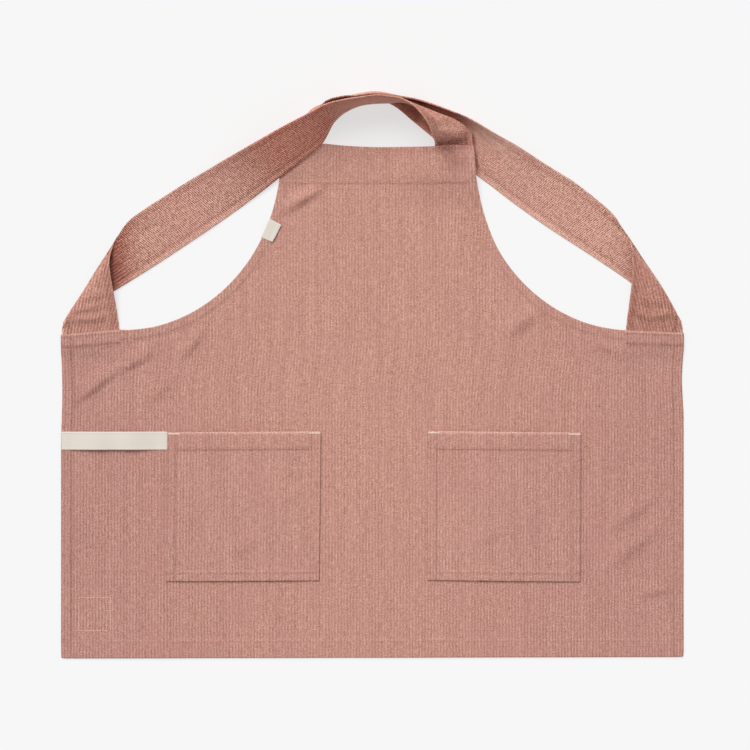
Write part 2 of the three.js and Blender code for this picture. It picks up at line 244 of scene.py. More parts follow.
class Shader:
    """The nodes of one material, added and wired by short calls."""

    def __init__(self, name: str) -> None:
        """Start a material with a principled shader and nothing linked to it.

        Args:
            name: The material's name.
        """
        self.material = bpy.data.materials.new(name)
        self.material.use_nodes = True
        self.tree = self.material.node_tree
        self.surface = self.tree.nodes["Principled BSDF"]

    def put(self, target: Socket, value: object) -> None:
        """Wire an input to a socket, or set it to a number or colour.

        Args:
            target: The input.
            value: The socket, number or colour.
        """
        if isinstance(value, bpy.types.NodeSocket):
            self.tree.links.new(value, target)
        else:
            target.default_value = value

    def add(self, kind: str, inputs: dict | None = None, **settings: object) -> bpy.types.Node:
        """Add a node.

        Args:
            kind: The node's type without its common prefix.
            inputs: What goes into its inputs, by name or number.
            settings: The node's own settings.

        Returns:
            The new node.
        """
        node = self.tree.nodes.new("ShaderNode" + kind)
        for key, value in settings.items():
            setattr(node, key, value)
        for key, value in (inputs or {}).items():
            self.put(node.inputs[key], value)
        return node

    def cloth_map(self, scale: Point = (1.0, 1.0, 1.0), turn: float = 0.0) -> Socket:
        """Give the piece's own cloth map.

        Args:
            scale: How much it is stretched, by axis.
            turn: How far it is turned, in degrees.

        Returns:
            The socket with places on the cloth, in metres where it isn't stretched.
        """
        spots = self.add("UVMap", uv_map=CLOTH_MAP).outputs["UV"]
        inputs = {"Vector": spots, "Scale": scale, "Rotation": (0.0, 0.0, math.radians(turn))}
        return self.add("Mapping", inputs).outputs["Vector"]

    def attribute(self, name: str) -> Socket:
        """Give the value of a piece's own attribute."""
        return self.add("Attribute", attribute_name=name).outputs["Fac"]

    def noise(self, vector: Socket, scale: float = 1.0, detail: float = 2.0) -> Socket:
        """Give a soft random value about 0.5 at each point, of a scale and with octaves of finer detail."""
        return self.add("TexNoise", {"Vector": vector, "Scale": scale, "Detail": detail}).outputs["Fac"]

    def bands(self, vector: Socket, pitch: float, waver: float, along: str) -> Socket:
        """Give even bands across one direction of the cloth map.

        Args:
            vector: Where the bands are read, in metres.
            pitch: Width of a band in millimetres.
            waver: How far the bands wander.
            along: The direction across the bands, X or Y.

        Returns:
            The socket with values from 0 to 1.
        """
        inputs = {"Vector": vector, "Scale": 2.0 * math.pi / (20.0 * pitch * MM), "Distortion": waver,
                  "Detail": 2.0, "Detail Scale": 1.2}
        wave = self.add("TexWave", inputs, wave_type="BANDS", bands_direction=along, wave_profile="SIN")
        return wave.outputs["Fac"]

    def spread(self, value: Socket, low: float, high: float, start: float = 0.0, end: float = 1.0) -> Socket:
        """Stretch a value's range from low to high over the range from start to end."""
        inputs = {"Value": value, "From Min": low, "From Max": high, "To Min": start, "To Max": end}
        return self.add("MapRange", inputs).outputs["Result"]

    def faded(self, pattern: Socket, amount: Socket) -> Socket:
        """Let an amount of a pattern show, and its middle, 0.5, where it does not."""
        return self.add("Mix", {0: amount, 2: 0.5, 3: pattern}, data_type="FLOAT").outputs[0]

    def product(self, first: Socket, second: Socket) -> Socket:
        """Multiply two values."""
        return self.add("Math", {0: first, 1: second}, operation="MULTIPLY").outputs[0]

    def weighed(self, parts: Sequence[tuple[Socket, float]]) -> Socket:
        """Add up patterns about their middle value.

        Args:
            parts: Each pattern with its weight.

        Returns:
            The socket with the sum, 0.5 where every pattern is at its middle.
        """
        total = 0.5 - 0.5 * sum(weight for _, weight in parts)
        for pattern, weight in parts:
            total = self.add("Math", {0: pattern, 1: weight, 2: total}, operation="MULTIPLY_ADD").outputs[0]
        return total

    def ramp(self, value: Socket, *stops: tuple[float, Colour]) -> Socket:
        """Turn a value into a colour.

        Args:
            value: The value from 0 to 1.
            stops: Places on the ramp with their colours.

        Returns:
            The socket with the colour.
        """
        node = self.add("ValToRGB", {"Fac": value})
        elements = node.color_ramp.elements
        while len(elements) < len(stops):
            elements.new(0.5)
        for element, (place, colour) in zip(elements, stops):
            element.position = place
            element.color = colour
        return node.outputs["Color"]

    def mixed(self, amount: Socket, first: Socket, second: Colour, blend: str = "MIX") -> Socket:
        """Mix an amount of a second colour into a first one."""
        inputs = {0: amount, 6: first, 7: second}
        return self.add("Mix", inputs, data_type="RGBA", blend_type=blend).outputs[2]

    def relief(self, height: Socket, depth: float, strength: float) -> Socket:
        """Give the normal of a pattern that stands up by a depth in millimetres."""
        inputs = {"Height": height, "Distance": depth * MM, "Strength": strength}
        return self.add("Bump", inputs).outputs["Normal"]

    def finished(self, **sockets: object) -> Finish:
        """Fill the principled shader's own sockets.

        Args:
            sockets: What goes into each, by its name with underscores.

        Returns:
            The finished material.
        """
        for name, value in sockets.items():
            self.put(self.surface.inputs[name.replace("_", " ")], value)
        return self.material

    def fibre(self, colour: Socket, normal: Socket, roughness: float, sheen: float) -> Finish:
        """Finish a matt fibre with a colour, a relief, a roughness and a little sheen."""
        return self.finished(Base_Color=colour, Normal=normal, Roughness=roughness, Specular_IOR_Level=0.2,
                             Sheen_Weight=sheen, Sheen_Roughness=0.6)


@dataclass(frozen=True)
class RibbedCotton:
    """Rose cotton woven in fine broken ribs that run along the cloth."""

    name: str
    valley: Colour = albedo(136, 90, 78)
    middle: Colour = albedo(190, 140, 125)
    crest: Colour = albedo(230, 186, 169)
    blush: Colour = albedo(190, 135, 127)
    falloff_shade: Colour = (0.89, 0.875, 0.91, 1.0)
    shade_warmth: Colour = (1.12, 0.88, 0.83, 1.0)
    rib_pitch: float = 4.4
    rib_waver: float = 2.0
    rib_weight: float = 0.27
    run_ribs: float = 0.35
    falloff_ribs: float = 0.65
    patch_scale: float = 43.0
    patch_range: tuple[float, float, float] = (0.4, 0.6, 0.5)
    streak_scale: Point = (520.0, 80.0, 1.0)
    streak_weight: float = 0.35
    weft_pitch: float = 2.54
    weft_turn: float = 16.0
    weft_waver: float = 1.4
    weft_weight: float = 0.1
    dash_scale: Point = (110.0, 600.0, 1.0)
    dash_weight: float = 0.2
    grain_scale: float = 520.0
    grain_weight: float = 1.0
    front_grain: float = 1.0
    mottle_scale: float = 170.0
    mottle_weight: float = 0.3
    slub_scale: Point = (90.0, 9.0, 1.0)
    slub_weight: float = 0.2
    tone_weight: float = 0.7
    crossed_from: float = 9.0
    crossed_over: float = 0.04
    front_hatch: float = 0.15
    calm_from: float = 9.0
    calm_over: float = 0.05
    calm_hatch: float = 0.3
    ramp_places: Point = (0.1, 0.5, 0.9)
    blush_scale: float = 17.0
    blush_range: Colour = (0.42, 0.7, 0.0, 0.25)
    falloff_middle: Point = (0.0, -0.07, 0.0)
    falloff_stretch: Point = (1.0, 0.45, 0.0)
    falloff_range: tuple[float, float] = (0.1, 0.42)
    relief_weights: tuple[float, ...] = (0.5, 0.8, 0.3, 0.3)
    relief_depth: float = 0.4
    relief_strength: float = 0.8
    roughness: float = 0.92
    sheen: float = 0.08

    def make(self) -> Finish:
        """Build the cloth's nodes.

        Returns:
            The finished material.
        """
        cloth = Shader(self.name)
        plain = cloth.cloth_map()
        run = cloth.add("SeparateXYZ", {0: plain}).outputs["Y"]
        place = cloth.add("TexCoord").outputs["Object"]
        light_falloff = self.light_falloff(cloth, place)
        hatched = (run, self.crossed_from, self.crossed_from + self.crossed_over)
        calm = cloth.spread(run, self.calm_from, self.calm_from + self.calm_over, 1.0, self.calm_hatch)
        crossed = cloth.product(cloth.spread(*hatched, self.front_hatch), calm)
        lengthwise = cloth.spread(*hatched, 1.0, self.run_ribs)
        patchy = cloth.spread(cloth.noise(plain, self.patch_scale), *self.patch_range)
        ribs = cloth.faded(cloth.bands(plain, self.rib_pitch, self.rib_waver, "X"), patchy)
        # The ribs fade where the painted falloff shade deepens.
        ribs = cloth.faded(cloth.faded(ribs, lengthwise), cloth.spread(light_falloff, 0.0, 1.0, self.falloff_ribs))
        slanting = cloth.cloth_map(turn=self.weft_turn)
        weft = cloth.faded(cloth.bands(slanting, self.weft_pitch, self.weft_waver, "Y"), crossed)
        streaks = cloth.noise(cloth.cloth_map(self.streak_scale))
        dashes = cloth.faded(cloth.noise(cloth.cloth_map(self.dash_scale, self.weft_turn)), crossed)
        grain = cloth.faded(cloth.noise(plain, self.grain_scale), cloth.spread(*hatched, self.front_grain))
        tone = cloth.weighed((
            (ribs, self.rib_weight),
            (streaks, self.streak_weight),
            (weft, self.weft_weight),
            (dashes, self.dash_weight),
            (cloth.noise(cloth.cloth_map(self.slub_scale)), self.slub_weight),
            (cloth.noise(plain, self.mottle_scale), self.mottle_weight),
            (grain, self.grain_weight),
            # The piece's painted light and shade.
            (cloth.attribute(PAINTED_TONE), self.tone_weight),
        ))
        tones_and_painted_shade = cloth.ramp(tone, *zip(self.ramp_places, (self.valley, self.middle, self.crest)))
        patches = cloth.spread(cloth.noise(place, self.blush_scale, 3.0), *self.blush_range)
        flushed = cloth.mixed(patches, tones_and_painted_shade, self.blush)
        # Warm painted shade: darker and redder where a strap banks away from the light and just past the
        # left fold.
        flushed = cloth.mixed(cloth.attribute(WARM_SHADE), flushed, self.shade_warmth, "MULTIPLY")
        # Painted shade: darker away from the bib, where the light falls off.
        colour = cloth.mixed(light_falloff, flushed, self.falloff_shade, "MULTIPLY")
        height = cloth.weighed(tuple(zip((ribs, streaks, weft, grain), self.relief_weights)))
        normal = cloth.relief(height, self.relief_depth, self.relief_strength)
        return cloth.fibre(colour, normal, self.roughness, self.sheen)

    def light_falloff(self, cloth: Shader, place: Socket) -> Socket:
        """Paint shade that deepens from the bib to the apron's sides and hem, where the light falls off.

        Args:
            cloth: The material's nodes.
            place: The socket with places on the apron.

        Returns:
            The socket with values from 0 at the bib to 1.
        """
        inputs = {"Vector": place, "Location": self.falloff_middle, "Scale": self.falloff_stretch}
        spot = cloth.add("Mapping", inputs).outputs["Vector"]
        reach = cloth.add("VectorMath", {0: spot}, operation="LENGTH").outputs["Value"]
        return cloth.spread(reach, *self.falloff_range)


@dataclass(frozen=True)
class TwillTape:
    """Ecru cotton tape in a fine slanting twill."""

    name: str
    shade: Colour = albedo(205, 196, 184)
    light: Colour = albedo(228, 221, 211)
    twill_pitch: float = 1.3
    twill_turn: float = 52.0
    twill_waver: float = 1.0
    fibre_scale: Point = (160.0, 1500.0, 1.0)
    grain_scale: float = 900.0
    tone_weights: Point = (0.22, 0.3, 0.3)
    ramp_places: tuple[float, float] = (0.15, 0.85)
    relief_weights: tuple[float, float] = (0.6, 0.4)
    relief_depth: float = 0.15
    relief_strength: float = 0.6
    roughness: float = 0.9
    sheen: float = 0.05

    def make(self) -> Finish:
        """Build the tape's nodes.

        Returns:
            The finished material.
        """
        tape = Shader(self.name)
        twill = tape.bands(tape.cloth_map(turn=self.twill_turn), self.twill_pitch, self.twill_waver, "X")
        fibres = tape.noise(tape.cloth_map(self.fibre_scale))
        grain = tape.noise(tape.cloth_map(), self.grain_scale, 3.0)
        tone = tape.weighed(tuple(zip((twill, fibres, grain), self.tone_weights)))
        height = tape.weighed(tuple(zip((twill, grain), self.relief_weights)))
        normal = tape.relief(height, self.relief_depth, self.relief_strength)
        colour = tape.ramp(tone, *zip(self.ramp_places, (self.shade, self.light)))
        return tape.fibre(colour, normal, self.roughness, self.sheen)


@dataclass(frozen=True)
class SewingThread:
    """Spun thread with a fine twist."""

    name: str
    shade: Colour
    light: Colour
    twist_scale: float = 2200.0
    ramp_places: tuple[float, float] = (0.3, 0.7)
    relief_depth: float = 0.05
    relief_strength: float = 0.5
    roughness: float = 0.75
    sheen: float = 0.05

    def make(self) -> Finish:
        """Build the thread's nodes.

        Returns:
            The finished material.
        """
        thread = Shader(self.name)
        twist = thread.noise(thread.add("TexCoord").outputs["Object"], self.twist_scale)
        colour = thread.ramp(twist, *zip(self.ramp_places, (self.shade, self.light)))
        normal = thread.relief(twist, self.relief_depth, self.relief_strength)
        return thread.fibre(colour, normal, self.roughness, self.sheen)


@dataclass(frozen=True)
class PaleFloor:
    """Even, nearly white studio floor, lit a little from below."""

    name: str = "pale_floor"
    shade: Colour = (0.31, 0.31, 0.31, 1.0)
    light: Colour = (1.0, 1.0, 1.0, 1.0)
    glow: float = 0.595

    def make(self) -> Finish:
        """Build the floor's shader from its own constants."""
        return Shader(self.name).finished(Base_Color=self.shade, Roughness=1.0, Specular_IOR_Level=0.0,
                                          Emission_Color=self.light, Emission_Strength=self.glow)


POCKET_COTTON = RibbedCotton("ribbed_cotton_pocket", middle=albedo(189, 140, 126))
STRAP_COTTON = RibbedCotton(
    "ribbed_cotton_strap", valley=albedo(116, 66, 52), middle=albedo(190, 138, 122),
    crest=albedo(238, 195, 178), falloff_shade=(0.93, 0.9, 0.9, 1.0), rib_weight=0.34, weft_weight=0.62,
    dash_weight=0.85, grain_weight=1.6, front_grain=0.55, tone_weight=0.6, crossed_from=0.228,
    calm_from=0.7, sheen=0.0)
CALM_STRAP_COTTON = replace(STRAP_COTTON, name="ribbed_cotton_calm_strap", rib_weight=0.28, weft_weight=0.5,
                            dash_weight=0.65, crossed_from=0.125)
TONAL_THREAD = SewingThread("tonal_thread", albedo(176, 128, 113), albedo(206, 160, 146))
PALE_THREAD = SewingThread("pale_thread", albedo(222, 180, 165), albedo(240, 205, 192))
ECRU_THREAD = SewingThread("ecru_thread", albedo(214, 203, 188), albedo(240, 233, 222))


@dataclass
class Wardrobe:
    """The finishes that the apron's pieces share."""

    body: Finish = field(default_factory=RibbedCotton("ribbed_cotton").make)
    strap: Finish = field(default_factory=STRAP_COTTON.make)
    calm_strap: Finish = field(default_factory=CALM_STRAP_COTTON.make)
    pocket: Finish = field(default_factory=POCKET_COTTON.make)
    tape: Finish = field(default_factory=TwillTape("ecru_twill").make)
    tonal: Finish = field(default_factory=TONAL_THREAD.make)
    pale: Finish = field(default_factory=PALE_THREAD.make)
    ecru: Finish = field(default_factory=ECRU_THREAD.make)


def finished(name: str, shape: bmesh.types.BMesh, finish: Finish) -> Piece:
    """Turn a shape into a smooth piece of the scene.

    Args:
        name: The piece's name.
        shape: Its shape in metres, which is used up.
        finish: Its material.

    Returns:
        The new object, at the origin.
    """
    bmesh.ops.recalc_face_normals(shape, faces=shape.faces[:])
    for face in shape.faces:
        face.smooth = True
    mesh = bpy.data.meshes.new(name)
    shape.to_mesh(mesh)
    shape.free()
    mesh.materials.append(finish)
    piece = bpy.data.objects.new(name, mesh)
    bpy.context.scene.collection.objects.link(piece)
    LOG.info("%s: %d faces", name, len(mesh.polygons))
    return piece


def carried(piece: Piece, slot: Slot, *nodes: str) -> Piece:
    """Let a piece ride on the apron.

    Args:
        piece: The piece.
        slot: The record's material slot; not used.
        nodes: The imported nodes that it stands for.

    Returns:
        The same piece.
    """
    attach(piece, BODY)
    if nodes:
        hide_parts(*nodes)
    return piece


def sewn_sheet(name: str, layers: tuple[Array, Array], weave: Array, finish: Finish,
               tone: Array | float = 0.0, depth: Array | float = 0.0) -> Piece:
    """Make a closed sheet of cloth with rounded edges.

    Args:
        name: The piece's name.
        layers: Pattern points of its upper and its under side, by row and column.
        weave: Places on the cloth, across and along it, by row and column.
        finish: Its material.
        tone: Its painted light and shade, how much lighter than the plain cloth it is, from -1 to 1, by row
            and column.
        depth: How much warm painted shade it has, from 0 to 1, by row and column.

    Returns:
        The new object, with its cloth map in metres, its painted light and shade, and its warm painted
        shade.
    """
    upper, under = layers
    rows, columns = upper.shape[:2]
    shape = bmesh.new()
    bmesh.ops.create_grid(shape, x_segments=columns - 1, y_segments=rows - 1, size=0.5)
    raised = bmesh.ops.extrude_face_region(shape, geom=shape.faces[:], use_keep_orig=True)["geom"]
    lifted = [part for part in raised if isinstance(part, bmesh.types.BMVert)]
    bmesh.ops.translate(shape, verts=lifted, vec=(0.0, 0.0, 1.0))
    walls = [edge for edge in shape.edges if abs(edge.verts[0].co.z - edge.verts[1].co.z) > 0.5]
    bmesh.ops.subdivide_edges(shape, edges=walls, cuts=1)
    lattice = np.array([vertex.co for vertex in shape.verts])
    column = np.rint((lattice[:, 0] + 0.5) * (columns - 1)).astype(int)
    row = np.rint((lattice[:, 1] + 0.5) * (rows - 1)).astype(int)
    level = lattice[:, 2:3]
    outward = np.zeros_like(upper)
    outward[:, 0] += unit(upper[:, 0] - upper[:, 1])
    outward[:, -1] += unit(upper[:, -1] - upper[:, -2])
    outward[0] += unit(upper[0] - upper[1])
    outward[-1] += unit(upper[-1] - upper[-2])
    thick = np.linalg.norm(upper - under, axis=-1, keepdims=True)
    bulge = unit(outward) * thick * EDGE_BULGE
    middling = 1.0 - np.abs(2.0 * level - 1.0)
    places = under[row, column] * (1.0 - level) + upper[row, column] * level + bulge[row, column] * middling
    for vertex, place in zip(shape.verts, laid_out(places)):
        vertex.co = place
    piece = finished(name, shape, finish)
    corners = np.empty(len(piece.data.loops), dtype=int)
    piece.data.loops.foreach_get("vertex_index", corners)
    spots = (weave[row, column] * MM)[corners]
    piece.data.uv_layers.new(name=CLOTH_MAP).data.foreach_set("uv", spots.ravel())
    for label, values in ((PAINTED_TONE, 0.5 + 0.5 * np.asarray(tone)), (WARM_SHADE, depth)):
        spread = np.broadcast_to(values, upper.shape[:2])[row, column]
        piece.data.attributes.new(label, "FLOAT", "POINT").data.foreach_set("value", spread)
    return piece


@dataclass(frozen=True)
class Stitching:
    """Evenly spaced stitches that lie half sunk in the cloth."""

    pitch: float = 2.9
    length: float = 2.2
    width: float = 0.62
    height: float = 0.5

    def sewn(self, name: str, seams: Sequence[Seam], finish: Finish, slot: Slot = Slot.COTTON) -> Piece:
        """Sew along seams.

        Args:
            name: The piece's name.
            seams: The lines to sew along.
            finish: The thread's material.
            slot: The record's material slot, handed on but not used.

        Returns:
            The new object, with every stitch in it.
        """
        turns = np.concatenate([self.turns(seam) for seam in seams])
        shape = bmesh.new()
        bmesh.ops.create_uvsphere(shape, u_segments=6, v_segments=4, radius=0.5)
        made = 1
        while made < len(turns):
            last = STITCH_STEP * (len(turns) - made - 0.5)
            copied = [vertex for vertex in shape.verts if vertex.co.x < last]
            faces = {face for vertex in copied for face in vertex.link_faces}
            new = bmesh.ops.duplicate(shape, geom=list(faces))["geom"]
            vertices = [part for part in new if isinstance(part, bmesh.types.BMVert)]
            bmesh.ops.translate(shape, verts=vertices, vec=(STITCH_STEP * made, 0.0, 0.0))
            made = min(2 * made, len(turns))
        lined_up = np.array([vertex.co for vertex in shape.verts])
        number = np.rint(lined_up[:, 0] / STITCH_STEP).astype(int)
        lined_up[:, 0] -= STITCH_STEP * number
        places = np.einsum("nij,nj->ni", turns[number, :, :3], lined_up) + turns[number, :, 3]
        for vertex, place in zip(shape.verts, places):
            vertex.co = place
        return carried(finished(name, shape, finish), slot)

    def turns(self, seam: Seam) -> Array:
        """Give the turn, size and place of each stitch of a seam.

        Args:
            seam: The line to sew along.

        Returns:
            For each stitch, its side, up and run as columns, and its place, in metres.
        """
        steps = np.linalg.norm(np.diff(seam.points, axis=0), axis=1)
        run = np.concatenate(((0.0,), np.cumsum(steps)))
        count = max(int(run[-1] / self.pitch), 1)
        middles = (np.arange(count) + 0.5) * run[-1] / count

        def read(values: Array, shift: float) -> Array:
            """Read values along the run, a little before or after the stitches' middles."""
            return np.stack([np.interp(middles + shift, run, values[:, axis]) for axis in range(3)], axis=-1)

        tangents = unit(read(seam.points, 0.5) - read(seam.points, -0.5))
        ups = unit(read(seam.ups, 0.0))
        sides = unit(np.cross(ups, tangents))
        columns = (sides * self.width * MM, ups * self.height * MM, tangents * self.length * MM)
        return np.stack((*columns, laid_out(read(seam.points, 0.0))), axis=-1)


HemRow = tuple[Hem, Array, Array | float]


@dataclass(kw_only=True)
class HemmedCloth(ABC):
    """A single cloth with turned hems, laid out over places of its own flat pattern."""

    cloth: float = 1.2
    hem_turn: float = 1.0
    seam_dip: float = 0.4

    @abstractmethod
    def hems(self, x: Array, y: Array) -> list[HemRow]:
        """List each hem with the places' distances from its edge and how much of it there is."""

    @abstractmethod
    def layers(self, x: Array, y: Array) -> tuple[Array, Array]:
        """Give the pattern points of the upper and the under side over flat pattern places."""

    def dips(self, x: Array, y: Array) -> Array:
        """Give how deep the cloth is drawn in along its sewn lines, from 0 to 1."""
        return np.max([share * hem.drawn(inset) for hem, inset, share in self.hems(x, y)], axis=0)

    def thickness(self, x: Array, y: Array) -> Array:
        """Give the thickness of the cloth with its turned hems and sewn lines."""
        turned = np.max([share * hem.turned(inset) for hem, inset, share in self.hems(x, y)], axis=0)
        return self.cloth + self.hem_turn * turned - self.seam_dip * self.dips(x, y)

    def seam(self, x: Array | float, y: Array | float) -> Seam:
        """Lay a sewn line on the cloth.

        Args:
            x: Places of the line across the flat pattern.
            y: Places of the line up the flat pattern.

        Returns:
            The line on the upper side of the cloth.
        """
        x, y = np.broadcast_arrays(np.asarray(x, float), np.asarray(y, float))
        rightward = self.layers(x + 1.0, y)[0] - self.layers(x - 1.0, y)[0]
        upward = self.layers(x, y + 1.0)[0] - self.layers(x, y - 1.0)[0]
        return Seam(self.layers(x, y)[0], unit(np.cross(rightward, upward)))


@dataclass
class BodyPanel(HemmedCloth):
    """The front of the apron: skirt, armholes and bib in one cloth, with turned hems."""

    half_width: float = 440.0
    side_height: float = 462.0
    bib_height: float = 726.0
    bib_half_width: float = 136.0
    bib_dip: float = 4.6
    bib_dip_at: float = 11.5
    bib_dip_half: float = 84.0
    bib_splay: float = 1.0
    bib_droop: float = 3.8
    bib_droop_from: tuple[float, float] = (10.0, 600.0)
    bib_droop_over: float = 100.0
    bib_foot_inset: float = 14.0
    sway: float = 6.5
    sway_low: float = 360.0
    sway_side: float = 50.0
    armhole_start: float = 360.0
    armhole_top: float = 688.0
    armhole_flat_pull: float = 108.0
    armhole_steep_pull: tuple[float, float] = (13.0, 136.0)
    bottom_hem: Hem = Hem(24.0, 22.4, 0.4, 1.5)
    side_hem: Hem = Hem(14.5, 13.4, 0.8, 1.5)
    armhole_hem: Hem = Hem(12.0, 10.8, 0.12, 1.5, ease=5.0)
    shoulder_facing: Hem = Hem(21.0, 17.8, 1.0, 1.6)
    shoulder_edge: Hem = Hem(NO_TURN, 3.6, 1.0, 1.2)
    shoulder_fade: float = 6.0
    bib_facing: Hem = Hem(0.0, -1.4, 0.45, 1.4)
    bib_facing_line: float = 670.0
    bib_facing_half: float = 124.0
    shoulder_slopes: tuple[float, float] = (0.09, -0.04)
    left_level: float = 372.0
    left_fade: tuple[float, float] = (345.0, 20.0)
    right_fade: tuple[float, float] = (300.0, 60.0)
    line_end: float = 4.0
    side_line_stop: float = 24.0
    shoulder_line_stops: tuple[float, float] = (2.0, 3.0)
    bib_line_stops: tuple[float, float] = (3.0, 8.0)
    unevenness: float = 0.5
    patch_x: tuple[float, float] = (-415.5, -370.5)
    patch_y: tuple[float, float] = (38.5, 85.0)
    plateaus: tuple[Plateau, ...] = (
        Plateau(-402, 452, 46, 16, 2.6, 14),
        Plateau(402, 452, 46, 16, 2.6, 14),
        Plateau(-100, 714, 38, 18, 2.6, 22),
        Plateau(118, 722, 38, 22, 10, 72),
    )
    ridges: tuple[Ridge, ...] = (
        Ridge(-331, 421, 33, 42, 24, 7, 3.8),
        Ridge(-389, 386, 38, 58, 26, 8, 3.4),
        Ridge(-255, 443, 54, 36, 20, 8, 3.0),
        Ridge(-300, 380, 50, 40, 22, 12, 1.4),
        Ridge(213, 474, 36, 42, 24, 10, 3.2),
        Ridge(333, 437, -27, 34, 16, 6, 2.8),
        Ridge(370, 206, 35, 54, 20, 11, 1.8),
        Ridge(368, 156, 38, 68, 22, 12, 1.8),
        Ridge(402, 94, 15, 34, 14, 9, 1.6),
        Ridge(-98.6, 648.5, 32, 50, 16, 8, 4.2),
        Ridge(110, 729, -3, 36, 8, 14, 8.0),
        Ridge(122, 713, -38, 26, 12, 20, 4.6),
        Ridge(7, 440, 90, 300, 5, 4, 0.7),
    )
    side_pulls: tuple[Ridge, ...] = (
        Ridge(-440, 375, 90, 80, 90, 90, 1.8),
        Ridge(440, 393, 90, 56, 90, 90, 2.4),
        Ridge(150, 655, 90, 100, 80, 80, -3.4),
    )
    corner_pulls: tuple[Ridge, ...] = (Ridge(-440, 0, 45, 6, 6, 6, 0.5), Ridge(440, 0, 45, 6, 6, 6, 0.5))
    hem_tilt: float = 0.0025
    hem_tilt_height: float = 150.0
    bottom_rows: tuple[float, ...] = (0, 1.2, 4, 9, 14, 18, 20.4, 21.8, 23, 24.4, 26.5, 31)
    top_rows: tuple[float, ...] = (62, 58, 55.5, 54.2, 53, 51.5, 48, 40, 31, 25, 22.4, 20.8, 19.4, 18, 15.5,
                                   13, 11.6, 10.4, 8.6, 5.6, 3.4, 1.4, 0)
    side_columns: tuple[float, ...] = (0, 1.2, 4, 8, 11, 12.8, 14.2, 15.6, 19, 23, 28, 33, 38, 43, 48, 53,
                                       58, 63, 68, 74)
    middle_rows: int = 182
    armhole_columns: int = 50
    bib_side_columns: int = 8
    bib_top_columns: int = 30

    def armhole(self, steps: int) -> Array:
        """Give the right armhole's edge from the shoulder to the bib.

        Args:
            steps: How many steps to take along it.

        Returns:
            The points' x and y, one more than the steps.
        """
        part = np.linspace(0.0, 1.0, steps + 1)[:, None]
        back = 1.0 - part
        start = np.array((self.armhole_start, self.side_height))
        end = np.array((self.bib_half_width + self.bib_splay, self.armhole_top))
        flat = start - (self.armhole_flat_pull, 0.0)
        pull_x, pull_y = self.armhole_steep_pull
        steep = np.array((self.bib_half_width + pull_x, end[1] - pull_y))
        early, late = 3 * back ** 2 * part, 3 * back * part ** 2
        return back ** 3 * start + early * flat + late * steep + part ** 3 * end

    def shoulder_rise(self, x: Array) -> Array:
        """Give how much higher than level the shoulder edges lie, which slope a little.

        Args:
            x: Places across the flat pattern.

        Returns:
            Heights in millimetres, 0 away from the shoulders.
        """
        left_slope, right_slope = self.shoulder_slopes
        fades = (self.left_fade, self.right_fade)
        left_in, right_in = (eased((np.abs(x) - start) / over) for start, over in fades)
        left = left_slope * (x + self.left_level) * left_in
        right = right_slope * (x - self.armhole_start) * right_in
        return np.where(x < 0, left, right)

    def below_shoulder(self, x: Array, y: Array) -> Array:
        """Give how far below the shoulder's edge flat pattern places lie."""
        return self.side_height + self.shoulder_rise(x) - y

    def on_shoulder(self, x: Array) -> Array:
        """Give how far places across the flat pattern belong to the shoulders, from 0 to 1."""
        return eased((np.abs(x) - self.armhole_start + self.shoulder_fade) / self.shoulder_fade)

    def half_columns(self) -> Array:
        """Lay out the columns of the right half, from the side edge to the middle.

        Returns:
            For each column its foot on the hem, and the x and y of its top.
        """
        sides = [self.half_width - step for step in self.side_columns]
        found = [(x, x, self.side_height) for x in sides]
        found += [(x, x, y) for x, y in self.armhole(self.armhole_columns)]
        corner_foot = self.bib_half_width - self.bib_foot_inset
        for part in np.linspace(0.0, 1.0, self.bib_side_columns + 1)[1:]:
            foot = self.bib_half_width - self.bib_foot_inset * part
            top = self.bib_half_width + self.bib_splay * (1.0 - part)
            found.append((foot, top, self.armhole_top + (self.bib_height - self.armhole_top) * part))
        for part in np.linspace(1.0, 0.0, self.bib_top_columns + 1)[1:]:
            found.append((corner_foot * part, self.bib_half_width * part, self.bib_height))
        return np.array(found)

    def swayed(self, x: Array, y: Array) -> Array:
        """Find where flat pattern places lie across the apron, as the bib lies a little to the right.

        Args:
            x: Places across the flat pattern.
            y: Places up from the hem.

        Returns:
            Places across the apron.
        """
        upward = eased((y - self.sway_low) / (self.side_height - self.sway_low))
        inward = eased((self.armhole_start - np.abs(x)) / self.sway_side)
        return x + self.sway * upward * inward

    def unswayed(self, x: Array, y: Array) -> Array:
        """Find the place of the flat pattern that lies at x and y on the apron."""
        first = x - (self.swayed(x, y) - x)
        return x - (self.swayed(first, y) - first)

    def settled(self, x: Array, y: Array) -> tuple[Array, Array]:
        """Find where flat pattern places lie, with the sides, corners and hem a little drawn in.

        Args:
            x: Places across the flat pattern.
            y: Places up from the hem.

        Returns:
            The places' x and y as the apron lies.
        """
        drawn = heaped(self.side_pulls, x, y)
        rounded = heaped(self.corner_pulls, x, y)
        lain = self.swayed(x, y) - np.sign(x) * (drawn + rounded)
        return lain, y + rounded + self.hem_tilt * x * (1.0 - eased(y / self.hem_tilt_height))

    def lift(self, x: Array, y: Array) -> Array:
        """Give how far the cloth's underside stands off the floor.

        Args:
            x: Places across the apron.
            y: Places up from the hem.

        Returns:
            Heights in millimetres.
        """
        raised = np.max([plateau.height(x, y) for plateau in self.plateaus], axis=0)
        height = raised + heaped(self.ridges, x, y)
        waves = np.sin(x / 31.0 + 1.3 * np.sin(y / 47.0)) + np.sin(y / 38.0 + 1.7 * np.sin(x / 61.0 + 0.6))
        waves = waves + 0.7 * np.sin((x + y) / 23.0 + 0.9) + 0.6 * np.sin((x - 1.4 * y) / 29.0)
        return height + self.unevenness * (1.0 + waves / 3.3) * 0.5

